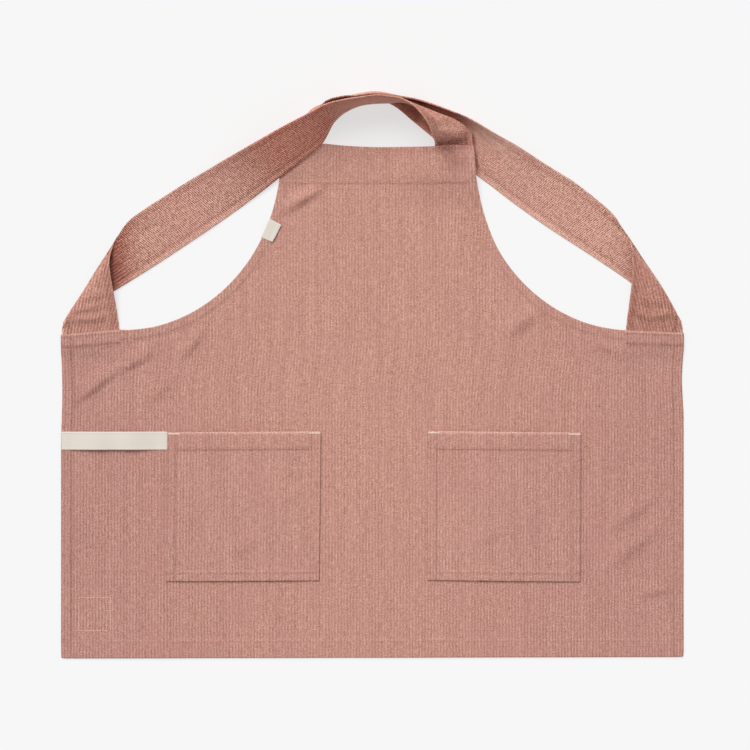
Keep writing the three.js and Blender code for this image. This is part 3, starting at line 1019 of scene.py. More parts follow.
    def edge_distance(self, x: Array, y: Array) -> Array:
        """Give the distance of flat pattern places to the armhole edge and the bib's side.

        Args:
            x: Places across the flat pattern.
            y: Places up from the hem.

        Returns:
            Distances in millimetres.
        """
        edge = np.vstack((self.armhole(48), (self.bib_half_width, self.bib_height)))
        point = np.stack((np.abs(x), y), axis=-1)
        nearest = np.full(np.shape(x), np.inf)
        for start, end in zip(edge[:-1], edge[1:]):
            step = end - start
            part = np.clip(((point - start) @ step) / (step @ step), 0.0, 1.0)
            nearest = np.minimum(nearest, np.linalg.norm(point - start - part[..., None] * step, axis=-1))
        return nearest

    def hems(self, x: Array, y: Array) -> list[HemRow]:
        """List the panel's hems.

        Args:
            x: Places across the flat pattern.
            y: Places up from the hem.

        Returns:
            Each hem with the places' distances from its edge and how much of it there is.
        """
        shoulder, share = self.below_shoulder(x, y), self.on_shoulder(x)
        return [
            (self.bottom_hem, y, 1.0),
            (self.side_hem, self.half_width - np.abs(x), 1.0),
            (self.armhole_hem, self.edge_distance(x, y), 1.0),
            (self.shoulder_facing, shoulder, share),
            (self.shoulder_edge, shoulder, share),
            (self.bib_facing, self.bib_facing_line - y, 1.0),
        ]

    def tone(self, x: Array, y: Array) -> Array:
        """Give the cloth's painted light and shade: darker along sewn lines, painted shade in the creases at
        the ridges' feet, and a painted highlight on the shoulder edges.

        Args:
            x: Places across the flat pattern.
            y: Places up from the hem.

        Returns:
            Tones from -1 to 1.
        """
        shoulder = self.below_shoulder(x, y)
        lain = self.settled(x, y)
        # Painted shade in the crevices at the ridges' feet.
        painted_crease_shade = sum(ridge.rise * ridge.crevice(*lain) for ridge in self.ridges)
        # Painted highlight on the shoulder edges, and a darker sewn line below them.
        lines = 0.6 * sewn_line(shoulder - 1.2, 1.2) - 0.4 * self.shoulder_facing.drawn(shoulder)
        return self.on_shoulder(x) * lines - 0.5 * self.dips(x, y) - 0.1 * painted_crease_shade

    def layers(self, x: Array, y: Array) -> tuple[Array, Array]:
        """Give the pattern points of the upper and the under side over flat pattern places."""
        lain = self.settled(x, y)
        return layered(*lain, self.lift(*lain), self.thickness(x, y))

    def top(self, x: Array, y: Array) -> Array:
        """Give the height of the upper side of the cloth where it lies at x and y."""
        return self.lift(x, y) + self.thickness(self.unswayed(x, y), y)

    def seams(self) -> list[Seam]:
        """Lay out every sewn line of the hems.

        Returns:
            The bottom hem, side hems, shoulders, armholes and the bib's facing.
        """
        reach = self.half_width - self.line_end
        across = np.linspace(-reach, reach, 300)
        upward = np.linspace(self.line_end, self.side_height - self.side_line_stop, 160)
        curve = self.armhole(120)
        slope = unit(np.gradient(curve, axis=0))
        inset = self.armhole_hem.sewn
        inward = curve + np.stack((-slope[:, 1], slope[:, 0]), axis=-1) * inset
        first, last = self.bib_line_stops
        climb = np.linspace(inward[-1, 1] + first, self.bib_height - last, 16)
        inner_x = np.concatenate((inward[:, 0], np.full(len(climb), self.bib_half_width - inset)))
        inner_y = np.concatenate((inward[:, 1], climb))
        facing = np.linspace(-self.bib_facing_half, self.bib_facing_half, 120)
        found = [self.seam(across, self.bottom_hem.sewn),
                 self.seam(facing, self.bib_facing_line - self.bib_facing.sewn)]
        for side in Side:
            found.append(self.seam(side.value * (self.half_width - self.side_hem.sewn), upward))
            found.append(self.seam(side.value * inner_x, inner_y))
            first, last = self.shoulder_line_stops
            shoulder = side.value * np.linspace(self.armhole_start + first, self.half_width - last, 40)
            edge = self.side_height + self.shoulder_rise(shoulder)
            for hem in (self.shoulder_facing, self.shoulder_edge):
                found.append(self.seam(shoulder, edge - hem.sewn))
        return found

    def patch_outline(self) -> list[Seam]:
        """Lay out the small sewn rectangle near the lower left corner.

        Returns:
            Its bottom, top and sides.
        """
        (left, right), (low, high) = self.patch_x, self.patch_y
        askew = np.linspace(left - 5.0, right - 4.0, 24)
        level, climb = np.linspace(left, right, 24), np.linspace(low, high, 24)
        return [self.seam(*line) for line in ((askew, low), (level, high), (left, climb), (right, climb))]

    def build(self, wardrobe: Wardrobe) -> Piece:
        """Make the panel and its stitches.

        Args:
            wardrobe: The finishes.

        Returns:
            The panel.
        """
        half = self.half_columns()
        columns = np.vstack((half * (-1.0, -1.0, 1.0), half[:-1][::-1]))
        foot, top_x, top_y = columns.T
        top_y = top_y + self.shoulder_rise(top_x)
        sag = np.clip((top_x - self.bib_dip_at) / self.bib_dip_half, -1.0, 1.0) ** 2
        top_y = top_y - self.bib_dip * (1.0 - sag)
        rightward, upward = self.bib_droop_from
        drooping = eased((top_x - rightward) / self.bib_droop_over)
        drooping = drooping * eased((top_y - upward) / self.bib_droop_over)
        top_y = top_y - self.bib_droop * drooping
        low = np.tile(np.array(self.bottom_rows)[:, None], (1, len(columns)))
        high = top_y - np.array(self.top_rows)[:, None]
        between = np.linspace(0.0, 1.0, self.middle_rows + 2)[1:-1, None]
        y = np.vstack((low, low[-1] + (high[0] - low[-1]) * between, high))
        x = foot + (top_x - foot) * y / top_y
        weave = np.stack((x, y), axis=-1)
        panel = sewn_sheet("body_cloth", self.layers(x, y), weave, wardrobe.body, self.tone(x, y))
        carried(panel, Slot.COTTON, "body_panel")
        hems = Stitching().sewn("body_stitches", self.seams(), wardrobe.tonal)
        thick = Stitching(width=1.1, height=0.9, length=2.5)
        outline = thick.sewn("patch_stitches", self.patch_outline(), wardrobe.pale)
        return panel


class Section(NamedTuple):
    """A section across a strap: its outer and inner edge, and where it bends if it isn't straight."""

    at: str
    outer: Point
    inner: Point
    knee: Point | None = None


class Spell(NamedTuple):
    """A stretch of a strap, counted in its sections, and how fast something comes and goes at its ends."""

    start: float
    end: float
    enter: float = 3.0
    leave: float = 3.0

    def amount(self, at: Array) -> Array:
        """Give how much shows at places along the strap, from 0 to 1, as a column."""
        return (eased((at - self.start) * self.enter) * eased((self.end - at) * self.leave))[:, None]


class PaintedShadowLine(NamedTuple):
    """A painted shadow line where a strap goes under the bib's side edge, by its top and its foot."""

    top_x: float
    top_y: float
    foot_x: float
    foot_y: float


def guided(points: Array, at: Array) -> Array:
    """Follow a smooth curve through points.

    Args:
        points: The points that the curve passes through.
        at: Places on it, where each whole number is a point.

    Returns:
        The curve's points there.
    """
    ends = (2 * points[0] - points[1], 2 * points[-1] - points[-2])
    padded = np.vstack((ends[0], points, ends[1]))
    index = np.clip(at.astype(int), 0, len(points) - 2)
    part = (at - index)[:, None]
    p0, p1, p2, p3 = (padded[index + step] for step in range(4))
    pairs = ((p0, p1), (p1, p2), (p2, p3))
    d0, d1, d2 = (np.sqrt(np.linalg.norm(after - before, axis=1))[:, None] for before, after in pairs)
    leave = ((p1 - p0) / d0 - (p2 - p0) / (d0 + d1) + (p2 - p1) / d1) * d1
    reach = ((p2 - p1) / d1 - (p3 - p1) / (d1 + d2) + (p3 - p2) / d2) * d1
    bend = 3 * (p2 - p1) - 2 * leave - reach
    twist = 2 * (p1 - p2) + leave + reach
    return p1 + part * (leave + part * (bend + part * twist))


@dataclass
class Strap:
    """A wide double strap from the side of the body, over the back of the neck, to the bib's far corner.

    Places along it count its sections, so 3 is the edge of its fold.
    """

    side: Side
    sections: tuple[Section, ...]
    base_ripples: tuple[Ridge, ...]
    run_dents: tuple[Ridge, ...]
    end_bulges: tuple[Ridge, ...] = ()
    at_base: Spell = Spell(0.9, 2.3, 4.0, 3.0)
    on_run: Spell = Spell(4.6, 9.0, 2.0, 2.0)
    at_end: Spell = Spell(20.2, 22.2, 3.0, 4.0)
    past_fold: Spell = Spell(3.3, 7.0, 3.0, 2.0)
    at_neck: Spell = Spell(9.0, 20.0, 1.0, 1.0)
    over_bib: Spell = Spell(8.3, 12.0)
    at_seam: Spell = Spell(21.7, 99.0)
    banked: Spell = Spell(19.0, 30.0, 1.0, 1.0)
    fold: float = 3.0
    straight_to: float = 5.5
    evened_from: float = 8.0
    even_rows: int = 20
    run_warm_shade: float = 0.0
    warm_shade_from: float = 8.0
    front_painted_shade: float = 0.0
    run_tone: float = 0.0
    front_lean: float = 0.225
    fold_edge: float = 369.0
    fold_reach: float = 17.0
    fold_shade: float = 0.35
    fold_warm_shade: float = 0.0
    fold_slack: float = 100.0
    bank_light: float = 0.0
    plain_light: float = 0.62
    light_from: Point = (-0.295, 0.616, 0.731)
    rim_painted_tone: float = 0.0
    rim_spread: float = 1.3
    edge_shade: float = 0.0
    edge_spread: float = 2.2
    end_shade: float = 0.0
    dark_fade: float = 2.5
    shadow_line_spread: float = 1.6
    outer_painted_light: float = 0.3
    inner_shade: float = 0.25
    hem_fade: float = 3.0
    seam_shade: float = 0.4
    edge_highlight: float = 0.5
    painted_shade_spells: tuple[tuple[Spell, float], ...] = ()
    beside_bib: PaintedShadowLine | None = None
    cloth: float = 1.8
    puff: float = 0.25
    puff_inset: float = 20.0
    seam_inset: float = 9.0
    seam_spread: float = 1.6
    seam_dip: float = 0.45
    cut_width: float = 0.080
    mean_width: float = 0.066
    row_length: float = 2.8
    cells_across: int = 30
    edge_crowding: float = 0.5

    @property
    def name(self) -> str:
        """The strap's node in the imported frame."""
        return f"strap_{self.side.name.lower()}"

    def stations(self) -> Array:
        """Space the rows evenly along each stretch.

        Returns:
            Places along the strap.
        """
        middles = np.array([np.add(section.outer, section.inner) / 2 for section in self.sections])
        found = [np.zeros(1)]
        for number, length in enumerate(np.linalg.norm(np.diff(middles, axis=0), axis=1)):
            count = int(np.clip(length / self.row_length, 7, 60))
            found.append(number + np.arange(1, count + 1) / count)
        return np.concatenate(found)

    def middle(self, at: Array, across: Array) -> Array:
        """Give the middle of the cloth.

        Args:
            at: Places along the strap.
            across: Places across it, from 0 at the outer edge to 1 at the inner one.

        Returns:
            Pattern points by row and column.
        """
        outer = np.array([section.outer for section in self.sections], float)
        inner = np.array([section.inner for section in self.sections], float)
        knee = np.array([s.knee or tuple(np.add(s.outer, s.inner) / 2) for s in self.sections], float)
        part = across[None, :, None]
        back = 1.0 - part
        low, bent, high = (guided(points, at)[:, None, :] for points in (outer, knee, inner))
        return low * back ** 3 + bent * (3 * part * back) + high * part ** 3

    def rippled(self, at: Array, points: Array) -> Array:
        """Give the height of the ripples at the sewn end, the dents in the run and the bulges at the bib.

        Args:
            at: Places along the strap.
            points: The middle of the cloth.

        Returns:
            Heights by row and column.
        """
        x, y = points[..., 0], points[..., 1]
        height = 0.25 * np.sin(y / 11.0 + x / 37.0) + 0.2 * np.sin(x / 13.0 - y / 29.0)
        folds = (
            (self.at_base, self.base_ripples),
            (self.on_run, self.run_dents),
            (self.at_end, self.end_bulges),
        )
        for spell, ridges in folds:
            height = height + spell.amount(at) * heaped(ridges, x, y)
        return height

    def woven(self, at: Array, points: Array, from_middle: Array) -> Array:
        """Lay the weave straight along each run of the strap, with a break at the fold.

        Args:
            at: Places along the strap.
            points: The middle of the cloth.
            from_middle: Distance of each point from the strap's middle line.

        Returns:
            Places across and along the cloth, by row and column.
        """
        middles = points.mean(axis=1)
        heading = unit(np.gradient(middles, axis=0))
        folded = at > self.fold
        heading[folded & (at < self.straight_to)] = heading[np.argmin(np.abs(at - self.straight_to))]
        heading[~folded] = unit(np.array((-self.side.value * self.front_lean, 1.0, 0.0)))
        across = unit(points[:, -1] - points[:, 0])
        slant = np.sum(across * heading, axis=1, keepdims=True)
        window = 2 * self.even_rows + 1
        rough = np.pad(slant[:, 0], self.even_rows, mode="edge")
        evened = np.convolve(rough, np.ones(window) / window, "valid")[:, None]
        slant = slant + (evened - slant) * eased((at - self.evened_from) / 2.0)[:, None]
        square = unit(across - slant * heading)
        steps = np.diff(middles, axis=0, prepend=middles[:1])
        sideways = np.cumsum(np.sum(steps * square, axis=1))[:, None]
        onward = np.cumsum(np.sum(steps * heading, axis=1))[:, None] + self.fold_slack * folded[:, None]
        straight = np.sqrt(1.0 - slant ** 2)
        return np.stack((sideways + from_middle * straight, onward + from_middle * slant), axis=-1)

    def dips(self, from_outer: Array) -> tuple[Array, Array]:
        """Measure the strap's sewn lines.

        Args:
            from_outer: Distance of each point from the outer edge.

        Returns:
            Each point's distance from the nearer edge, and how deep the cloth is drawn in there.
        """
        inset = np.minimum(from_outer, from_outer[:, -1:] - from_outer)
        return inset, sewn_line(inset - self.seam_inset, self.seam_spread)

    def tones_and_painted_shade(self, at: Array, points: Array, face: Array, from_outer: Array) -> tuple[Array, Array]:
        """Give the strap's painted light and shade, and how much warm painted shade it has.

        Args:
            at: Places along the strap.
            points: The middle of the cloth.
            face: The way out of the cloth.
            from_outer: Distance of each point from the outer edge.

        Returns:
            Tones from -1 to 1, and amounts of warm painted shade, by row and column.
        """
        inset, dips = self.dips(from_outer)
        from_inner = from_outer[:, -1:] - from_outer
        # Painted light along the outer edge and painted shade along the inner edge, from how the banked
        # strap catches the light.
        tone = self.outer_painted_light * eased((self.seam_inset - from_outer) / self.hem_fade)
        tone = tone - self.inner_shade * eased((self.seam_inset - from_inner) / self.hem_fade)
        # Darker along the sewn lines, and a painted highlight on both rims.
        tone = tone - self.seam_shade * dips + self.edge_highlight * sewn_line(inset, self.rim_spread)
        # Painted shadow of the fold on the run just past it.
        under_fold = np.minimum(np.abs(points[..., 0]) - self.fold_edge, 0.0)
        folded_under = self.past_fold.amount(at) * sewn_line(under_fold, self.fold_reach)
        tone = tone - self.fold_shade * folded_under
        # Painted shade on the front that faces away from the light, and a tone of its own for the run.
        tone = tone + np.where(at < self.fold, self.front_painted_shade, self.run_tone)[:, None]
        tone = np.clip(tone + self.shaded(at, points, face, from_outer), -1.0, 1.0)
        # Warm painted shade on the banked run and beside the fold.
        deeper = at - self.warm_shade_from
        depth = self.run_warm_shade * (eased(deeper / 2.0) * (1.0 - 0.6 * eased(deeper - 3.5)))[:, None]
        return tone, depth + self.fold_warm_shade * folded_under

    def shaded(self, at: Array, points: Array, face: Array, from_outer: Array) -> Array:
        """Paint shade into the strap's crevices about the neck, and paint light on its rims and on banked
        faces that turn away from the light.

        Args:
            at: Places along the strap.
            points: The middle of the cloth.
            face: The way out of the cloth.
            from_outer: Distance of each point from the outer edge.

        Returns:
            Tones to add, by row and column.
        """
        from_inner = from_outer[:, -1:] - from_outer
        lit = np.clip((face * np.sign(face[..., 2:])) @ np.array(self.light_from), 0.0, 1.0)
        # Painted light where the banked strap turns away from the light.
        tone = self.bank_light * self.banked.amount(at) * (self.plain_light - lit)
        # Painted light on the left strap's inner rim about the neck, painted shade on the right one's.
        tone = tone + self.rim_painted_tone * self.at_neck.amount(at) * sewn_line(from_inner, self.rim_spread)
        # Painted contact shadow along the outer edge over the bib.
        tone = tone - self.edge_shade * self.over_bib.amount(at) * sewn_line(from_outer, self.edge_spread)
        # Painted shade on the end that dives under the bib's edge.
        tone = tone - self.end_shade * self.at_seam.amount(at)
        # Painted shade in the gaps between the straps about the neck; a negative amount paints light.
        for spell, darkness in self.painted_shade_spells:
            tone = tone - darkness * spell.amount(at) * eased(from_inner / self.dark_fade)
        # Painted shadow under the bib's side edge.
        if self.beside_bib:
            shadow_line = self.beside_bib
            part = (points[..., 1] - shadow_line.foot_y) / (shadow_line.top_y - shadow_line.foot_y)
            beside = points[..., 0] - (shadow_line.foot_x + (shadow_line.top_x - shadow_line.foot_x) * part)
            line = sewn_line(beside, self.shadow_line_spread)
            tone = tone - line * eased(part * 8.0) * eased((1.2 - part) * 8.0)
        return tone

    def edge_seam(self, layer: Array, way: Array, from_outer: Array, target: Array) -> Seam:
        """Lay a sewn line along the strap.

        Args:
            layer: One side of the strap, by row and column.
            way: The way out of that side.
            from_outer: Distance of each point from the outer edge.
            target: Distance of the line from the outer edge, by row.

        Returns:
            The line on that side.
        """
        column = np.clip((from_outer < target).sum(axis=1), 1, layer.shape[1] - 1)
        rows = np.arange(len(layer))
        before, after = from_outer[rows, column - 1], from_outer[rows, column]
        part = np.clip((target[:, 0] - before) / np.maximum(after - before, 1e-6), 0.0, 1.0)[:, None]
        points = layer[rows, column - 1] * (1.0 - part) + layer[rows, column] * part
        return Seam(points, way[rows, column])

    def build(self, wardrobe: Wardrobe) -> Piece:
        """Make the strap and its stitches.

        Args:
            wardrobe: The finishes.

        Returns:
            The strap.
        """
        at = self.stations()
        even = np.linspace(0.0, 1.0, self.cells_across + 1)
        across = even - self.edge_crowding * np.sin(2 * np.pi * even) / (2 * np.pi)
        points = self.middle(at, across)
        sideways = unit(np.gradient(points, axis=1))
        forward = unit(np.gradient(points, axis=0))
        face = unit(np.cross(sideways, forward)) * -self.side.value
        points = points + face * self.rippled(at, points)[..., None]
        steps = np.linalg.norm(np.diff(points, axis=1), axis=2)
        from_outer = np.concatenate((np.zeros((len(at), 1)), np.cumsum(steps, axis=1)), axis=1)
        width = from_outer[:, -1:]
        inset, dips = self.dips(from_outer)
        puffed = self.puff * eased(inset / self.puff_inset)
        half = (self.cloth / 2 + puffed - self.seam_dip * dips)[..., None]
        upper, under = points + face * half, points - face * half
        for layer in (upper, under):
            layer[..., 2] = np.maximum(layer[..., 2], 0.0)
        weave = self.woven(at, points, from_outer - width / 2)
        finish = wardrobe.strap if self.side is Side.LEFT else wardrobe.calm_strap
        painted_shading = self.tones_and_painted_shade(at, points, face, from_outer)
        strap = sewn_sheet(f"{self.name}_cloth", (upper, under), weave, finish, *painted_shading)
        carried(strap, Slot.COTTON, self.name)
        LOG.info("%s: from its %s to its %s", self.name, self.sections[0].at, self.sections[-1].at)
        seams = []
        for layer, way in ((upper, face), (under, -face)):
            for target in (np.full_like(width, self.seam_inset), width - self.seam_inset):
                seams.append(self.edge_seam(layer, way, from_outer, target))
        sewing = Stitching(pitch=3.2).sewn(f"{self.name}_stitches", seams, wardrobe.tonal)
        return strap


LEFT_SECTIONS = (
    Section("sewn end", (-439, 439, 1.1), (-360, 442, 1.1)),
    Section("leaves the body", (-439, 465, 1.1), (-359, 465, 1.1)),
    Section("fold, front", (-437, 470.5, 4.6), (-371, 557, 13)),
    Section("fold, edge", (-437, 473.5, 2.9), (-369, 575, 7)),
    Section("fold, back", (-434.2, 476, 1), (-364, 589, 1.2)),
    Section("under the fold", (-367, 518, 1), (-352.5, 608.5, 1)),
    Section("low run", (-308, 555, 1), (-343, 619, 1)),
    Section("middle run", (-243, 598, 1), (-281, 660.5, 2)),
    Section("starts to bank", (-192, 633, 1), (-230, 690, 11)),
    Section("beside the bib", (-142, 671, 3.6), (-180, 716, 31)),
    Section("over the bib", (-104, 700, 7.6), (-137, 738, 46)),
    Section("bib corner", (-71, 726, 9.8), (-91, 762, 52)),
    Section("neck, left", (-54, 756, 12), (-65, 774.2, 60)),
    Section("neck, upper left", (-39, 770, 8), (-43, 779.2, 62)),
    Section("neck, nearly upright", (-16, 781, 3), (-21, 783, 61)),
    Section("neck, back", (8, 784.3, 2.2), (7, 787, 61)),
    Section("neck, upright", (26, 784.3, 5.6), (25, 785, 61)),
    Section("neck, tips in", (42, 785, 7), (40, 782, 62)),
    Section("neck, upper right", (75, 774, 8), (59, 771, 60), (73.5, 773.5, 36)),
    Section("neck, right", (95.5, 764.5, 8.5), (74, 754, 52), (94.5, 765.5, 40)),
    Section("falls to the bib", (117.5, 757, 8.5), (80, 745, 43), (116.5, 757.5, 33)),
    Section("near the bib", (137, 744, 8), (84, 736, 28), (134, 745, 20)),
    Section("bib seam", (141, 732, 6.6), (89, 728, 5.6)),
    Section("bib end", (141, 711, 5.0), (89, 711, 5.0)),
)
RIGHT_SECTIONS = (
    Section("sewn end", (439, 439, 1.1), (359, 439, 1.1)),
    Section("leaves the body", (439, 464, 1.1), (360, 464, 1.1)),
    Section("fold, front", (437, 472, 4.6), (367.5, 540.5, 9), (404.5, 508, 6.8)),
    Section("fold, edge", (437, 475.5, 2.9), (366.5, 578, 5.5), (404.8, 528.9, 4.2)),
    Section("fold, back", (434.4, 478, 1), (364, 591, 1.2), (402.2, 536.6, 1.1)),
    Section("under the fold", (366, 531, 1), (350.5, 613.5, 1)),
    Section("low run", (309, 570, 1), (341, 626.5, 1)),
    Section("middle run", (249, 609, 1), (290, 669, 2)),
    Section("starts to bank", (205, 640, 1), (243.5, 697.9, 6)),
    Section("beside the bib", (167, 669, 1), (202, 723.2, 15), (184, 694, 5)),
    Section("under the bib edge", (148, 683, 1), (178.3, 735.5, 20), (169, 720, 1)),
    Section("under the bib", (117, 709, 1), (138.5, 758.3, 25), (139, 757, 1)),
    Section("bib corner", (85, 737, 1), (102.2, 771.6, 32), (105, 777, 1)),
    Section("neck, upper right", (56, 761, 1), (67, 782, 42), (71, 789, 1)),
    Section("neck, tips in", (31, 781, 1), (39, 786, 50), (39, 795, 1)),
    Section("neck, back", (4, 791, 1), (4, 789.2, 60.5), (4, 796, 40)),
    Section("neck, upper left", (-22, 789, 1), (-22, 785.7, 60), (-22, 791.6, 40)),
    Section("neck, upright", (-42, 787, 1), (-41, 785, 58)),
    Section("neck, left", (-67, 782, 1), (-66, 778.4, 52)),
    Section("falls to the bib", (-86, 773, 1), (-77, 756, 25), (-88, 770, 38)),
    Section("near the bib", (-108, 752, 1), (-77, 737, 6), (-96, 749, 22)),
    Section("bib seam", (-127, 737, 1.1), (-72, 733, 1.1)),
    Section("bib end", (-128, 711, 1.1), (-72, 711, 1.1)),
)
STRAPS = (
    Strap(
        Side.LEFT,
        LEFT_SECTIONS,
        base_ripples=(
            Ridge(-392, 480, 6, 48, 9, 6, 3.0),
            Ridge(-396, 495, 9, 42, 9, 6, 2.4),
            Ridge(-390, 511, 12, 36, 10, 6, 2.0),
        ),
        run_dents=(Ridge(-316, 604, 32, 24, 12, 5, 2.2),),
        end_bulges=(Ridge(113, 741, -8, 36, 10, 7, 4.0),),
        run_warm_shade=1.0,
        fold_shade=1.15,
        fold_reach=25.0,
        fold_warm_shade=0.6,
        bank_light=1.0,
        rim_painted_tone=0.4,
        edge_shade=1.5,
        end_shade=0.4,
    ),
    Strap(
        Side.RIGHT,
        RIGHT_SECTIONS,
        base_ripples=(
            Ridge(378, 487, -22, 28, 10, 6, 3.2),
            Ridge(408, 484, 10, 34, 10, 6, 3.0),
            Ridge(392, 503, -6, 38, 11, 6, 2.0),
        ),
        run_dents=(Ridge(350, 606, -40, 20, 12, 5, 1.8),),
        front_painted_shade=-0.25,
        run_tone=0.2,
        run_warm_shade=0.8,
        warm_shade_from=10.6,
        bank_light=1.6,
        banked=Spell(8.4, 12.6, 1.0, 1.0),
        rim_painted_tone=-0.6,
        painted_shade_spells=((Spell(12.6, 14.4), 0.9), (Spell(14.5, 16.6), -0.7), (Spell(16.5, 18.3), 1.6)),
        beside_bib=PaintedShadowLine(143.6, 733.0, 150.0, 684.0),
    ),
)


@dataclass
class PatchPocket(HemmedCloth):
    """A patch pocket with turned edges, open along its hemmed mouth, on a pattern about its middle."""

    body: BodyPanel
    side: Side
    x: float
    y: float
    slope: float
    lean: float
    folds: tuple[Ridge, ...]
    width: float = 216.0
    height: float = 210.0
    edge_hem: Hem = Hem(13.0, 12.0, 0.7, 1.3, ease=2.0)
    bottom_hem: Hem = Hem(13.0, 10.6, 0.7, 1.2, ease=2.0)
    mouth_hem: Hem = Hem(25.0, 24.2, 0.6, 1.2, ease=2.0)
    side_rows: tuple[float, float] = (11.4, 14.0)
    ease: float = 2.8
    ease_over: float = 120.0
    low_ease: float = 0.25
    ripple: float = 0.5
    weave_shift: float = 1.03
    mouth_highlight: float = 0.7
    seam_shade: float = 0.5
    sewn_gap: float = 0.15
    bar: tuple[float, float] = (0.8, 16.0)
    bar_stitch: tuple[float, float, float] = (2.6, 1.7, 0.8)
    bar_rows: tuple[float, float] = (1.3, 2.1)
    edge_steps: tuple[float, ...] = (0, 1.2, 4, 8, 10, 11.2, 12.4, 13.6, 15, 18, 23, 30)
    mouth_steps: tuple[float, ...] = (0, 1.2, 4, 9, 15, 20, 23, 24.4, 25.6, 27.2, 30, 36)
    cells: int = 40

    @property
    def name(self) -> str:
        """The pocket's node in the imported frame."""
        return f"pocket_{self.side.name.lower()}"

    def standing(self, x: Array, y: Array) -> Array:
        """Give how far the pocket stands off the body.

        Args:
            x: Places across the pocket.
            y: Places up the pocket.

        Returns:
            Heights in millimetres, 0 along the sewn edges.
        """
        inward = 1.0 - np.clip(np.abs(x) / (self.width / 2 - self.edge_hem.reach), 0.0, 1.0) ** 2
        upward = eased((y + self.height / 2 - self.bottom_hem.reach) / self.ease_over)
        ripples = 0.5 + 0.5 * np.sin(x / 19.0 + 0.7 * np.sin(y / 33.0) + 0.01 * self.x)
        full = self.ease * inward ** 0.8 * (self.low_ease + (1.0 - self.low_ease) * upward)
        return full + self.ripple * ripples * inward + heaped(self.folds, x, y)

    def hems(self, x: Array, y: Array) -> list[HemRow]:
        """List the pocket's hems.

        Args:
            x: Places across the pocket.
            y: Places up the pocket.

        Returns:
            Each hem with the places' distances from its edge and how much of it there is.
        """
        return [
            (self.edge_hem, self.width / 2 - np.abs(x), 1.0),
            (self.bottom_hem, self.height / 2 + y, 1.0),
            (self.mouth_hem, self.height / 2 - y, 1.0),
        ]

    def layers(self, x: Array, y: Array) -> tuple[Array, Array]:
        """Give both sides of the pocket, which is sewn on a little askew.

        Args:
            x: Places across the pocket.
            y: Places up the pocket.

        Returns:
            The upper and the under side's pattern points.
        """
        lain_x = self.x + x - y * math.sin(math.radians(self.lean))
        lain_y = self.y + y + x * math.sin(math.radians(self.slope))
        low = self.body.top(lain_x, lain_y) + self.sewn_gap + self.standing(x, y)
        return layered(lain_x, lain_y, low, self.thickness(x, y))

    def seams(self) -> list[Seam]:
        """Lay out the pocket's sewn lines.

        Returns:
            The mouth, bottom and sides.
        """
        half_x, half_y = self.width / 2, self.height / 2
        level = np.linspace(-half_x + 2.0, half_x - 2.0, 90)
        climb = np.linspace(-half_y + self.bottom_hem.sewn, half_y - 1.5, 90)
        inner = np.linspace(-half_x + self.side_rows[0], half_x - self.side_rows[0], 90)
        found = [self.seam(level, half_y - self.mouth_hem.sewn)]
        found.append(self.seam(inner, -half_y + self.bottom_hem.sewn))
        for side in Side:
            found += [self.seam(side.value * (half_x - inset), climb) for inset in self.side_rows]
        return found

    def bartacks(self) -> list[Seam]:
        """Lay out the dense short stitches of the bars at the mouth's corners.

        Returns:
            One short upright line for each stitch, and two along each bar.
        """
        found = []
        edge = self.height / 2
        upright = edge - np.array(self.bar_stitch)
        for side in Side:
            outer, inner = (side.value * (self.width / 2 - inset) for inset in self.bar)
            found += [self.seam(x, upright) for x in np.linspace(outer, inner, 20)]
            found += [self.seam(np.linspace(outer, inner, 12), edge - inset) for inset in self.bar_rows]
        return found

    def spaced(self, size: float, high_steps: Sequence[float]) -> Array:
        """Space lines closely at both edges of the pocket and evenly between them.

        Args:
            size: The pocket's size across the lines.
            high_steps: Steps in from the far edge.

        Returns:
            Places from the pocket's middle.
        """
        low, high = np.array(self.edge_steps), np.array(high_steps)
        between = np.linspace(low[-1] - size / 2, size / 2 - high[-1], self.cells)[1:-1]
        return np.concatenate((low - size / 2, between, (size / 2 - high)[::-1]))

    def build(self, wardrobe: Wardrobe) -> Piece:
        """Make the pocket, its stitches and its bars.

        Args:
            wardrobe: The finishes.

        Returns:
            The pocket.
        """
        columns = self.spaced(self.width, self.edge_steps)
        x, y = np.meshgrid(columns, self.spaced(self.height, self.mouth_steps))
        weave = np.stack((x + self.x * self.weave_shift, y + self.y), axis=-1)
        # Painted highlight on the folded mouth's edge, and darker sewn lines.
        tone = self.mouth_highlight * sewn_line(self.height / 2 - y - 0.4, 1.2)
        tone = tone - self.seam_shade * self.dips(x, y)
        pocket = sewn_sheet(f"{self.name}_cloth", self.layers(x, y), weave, wardrobe.pocket, tone)
        carried(pocket, Slot.COTTON, self.name)
        sewing = Stitching().sewn(f"{self.name}_stitches", self.seams(), wardrobe.tonal)
        bars = Stitching(pitch=1.9, length=2.0, width=0.75, height=0.7)
        tacks = bars.sewn(f"{self.name}_bartacks", self.bartacks(), wardrobe.ecru, Slot.TAPE)
        return pocket


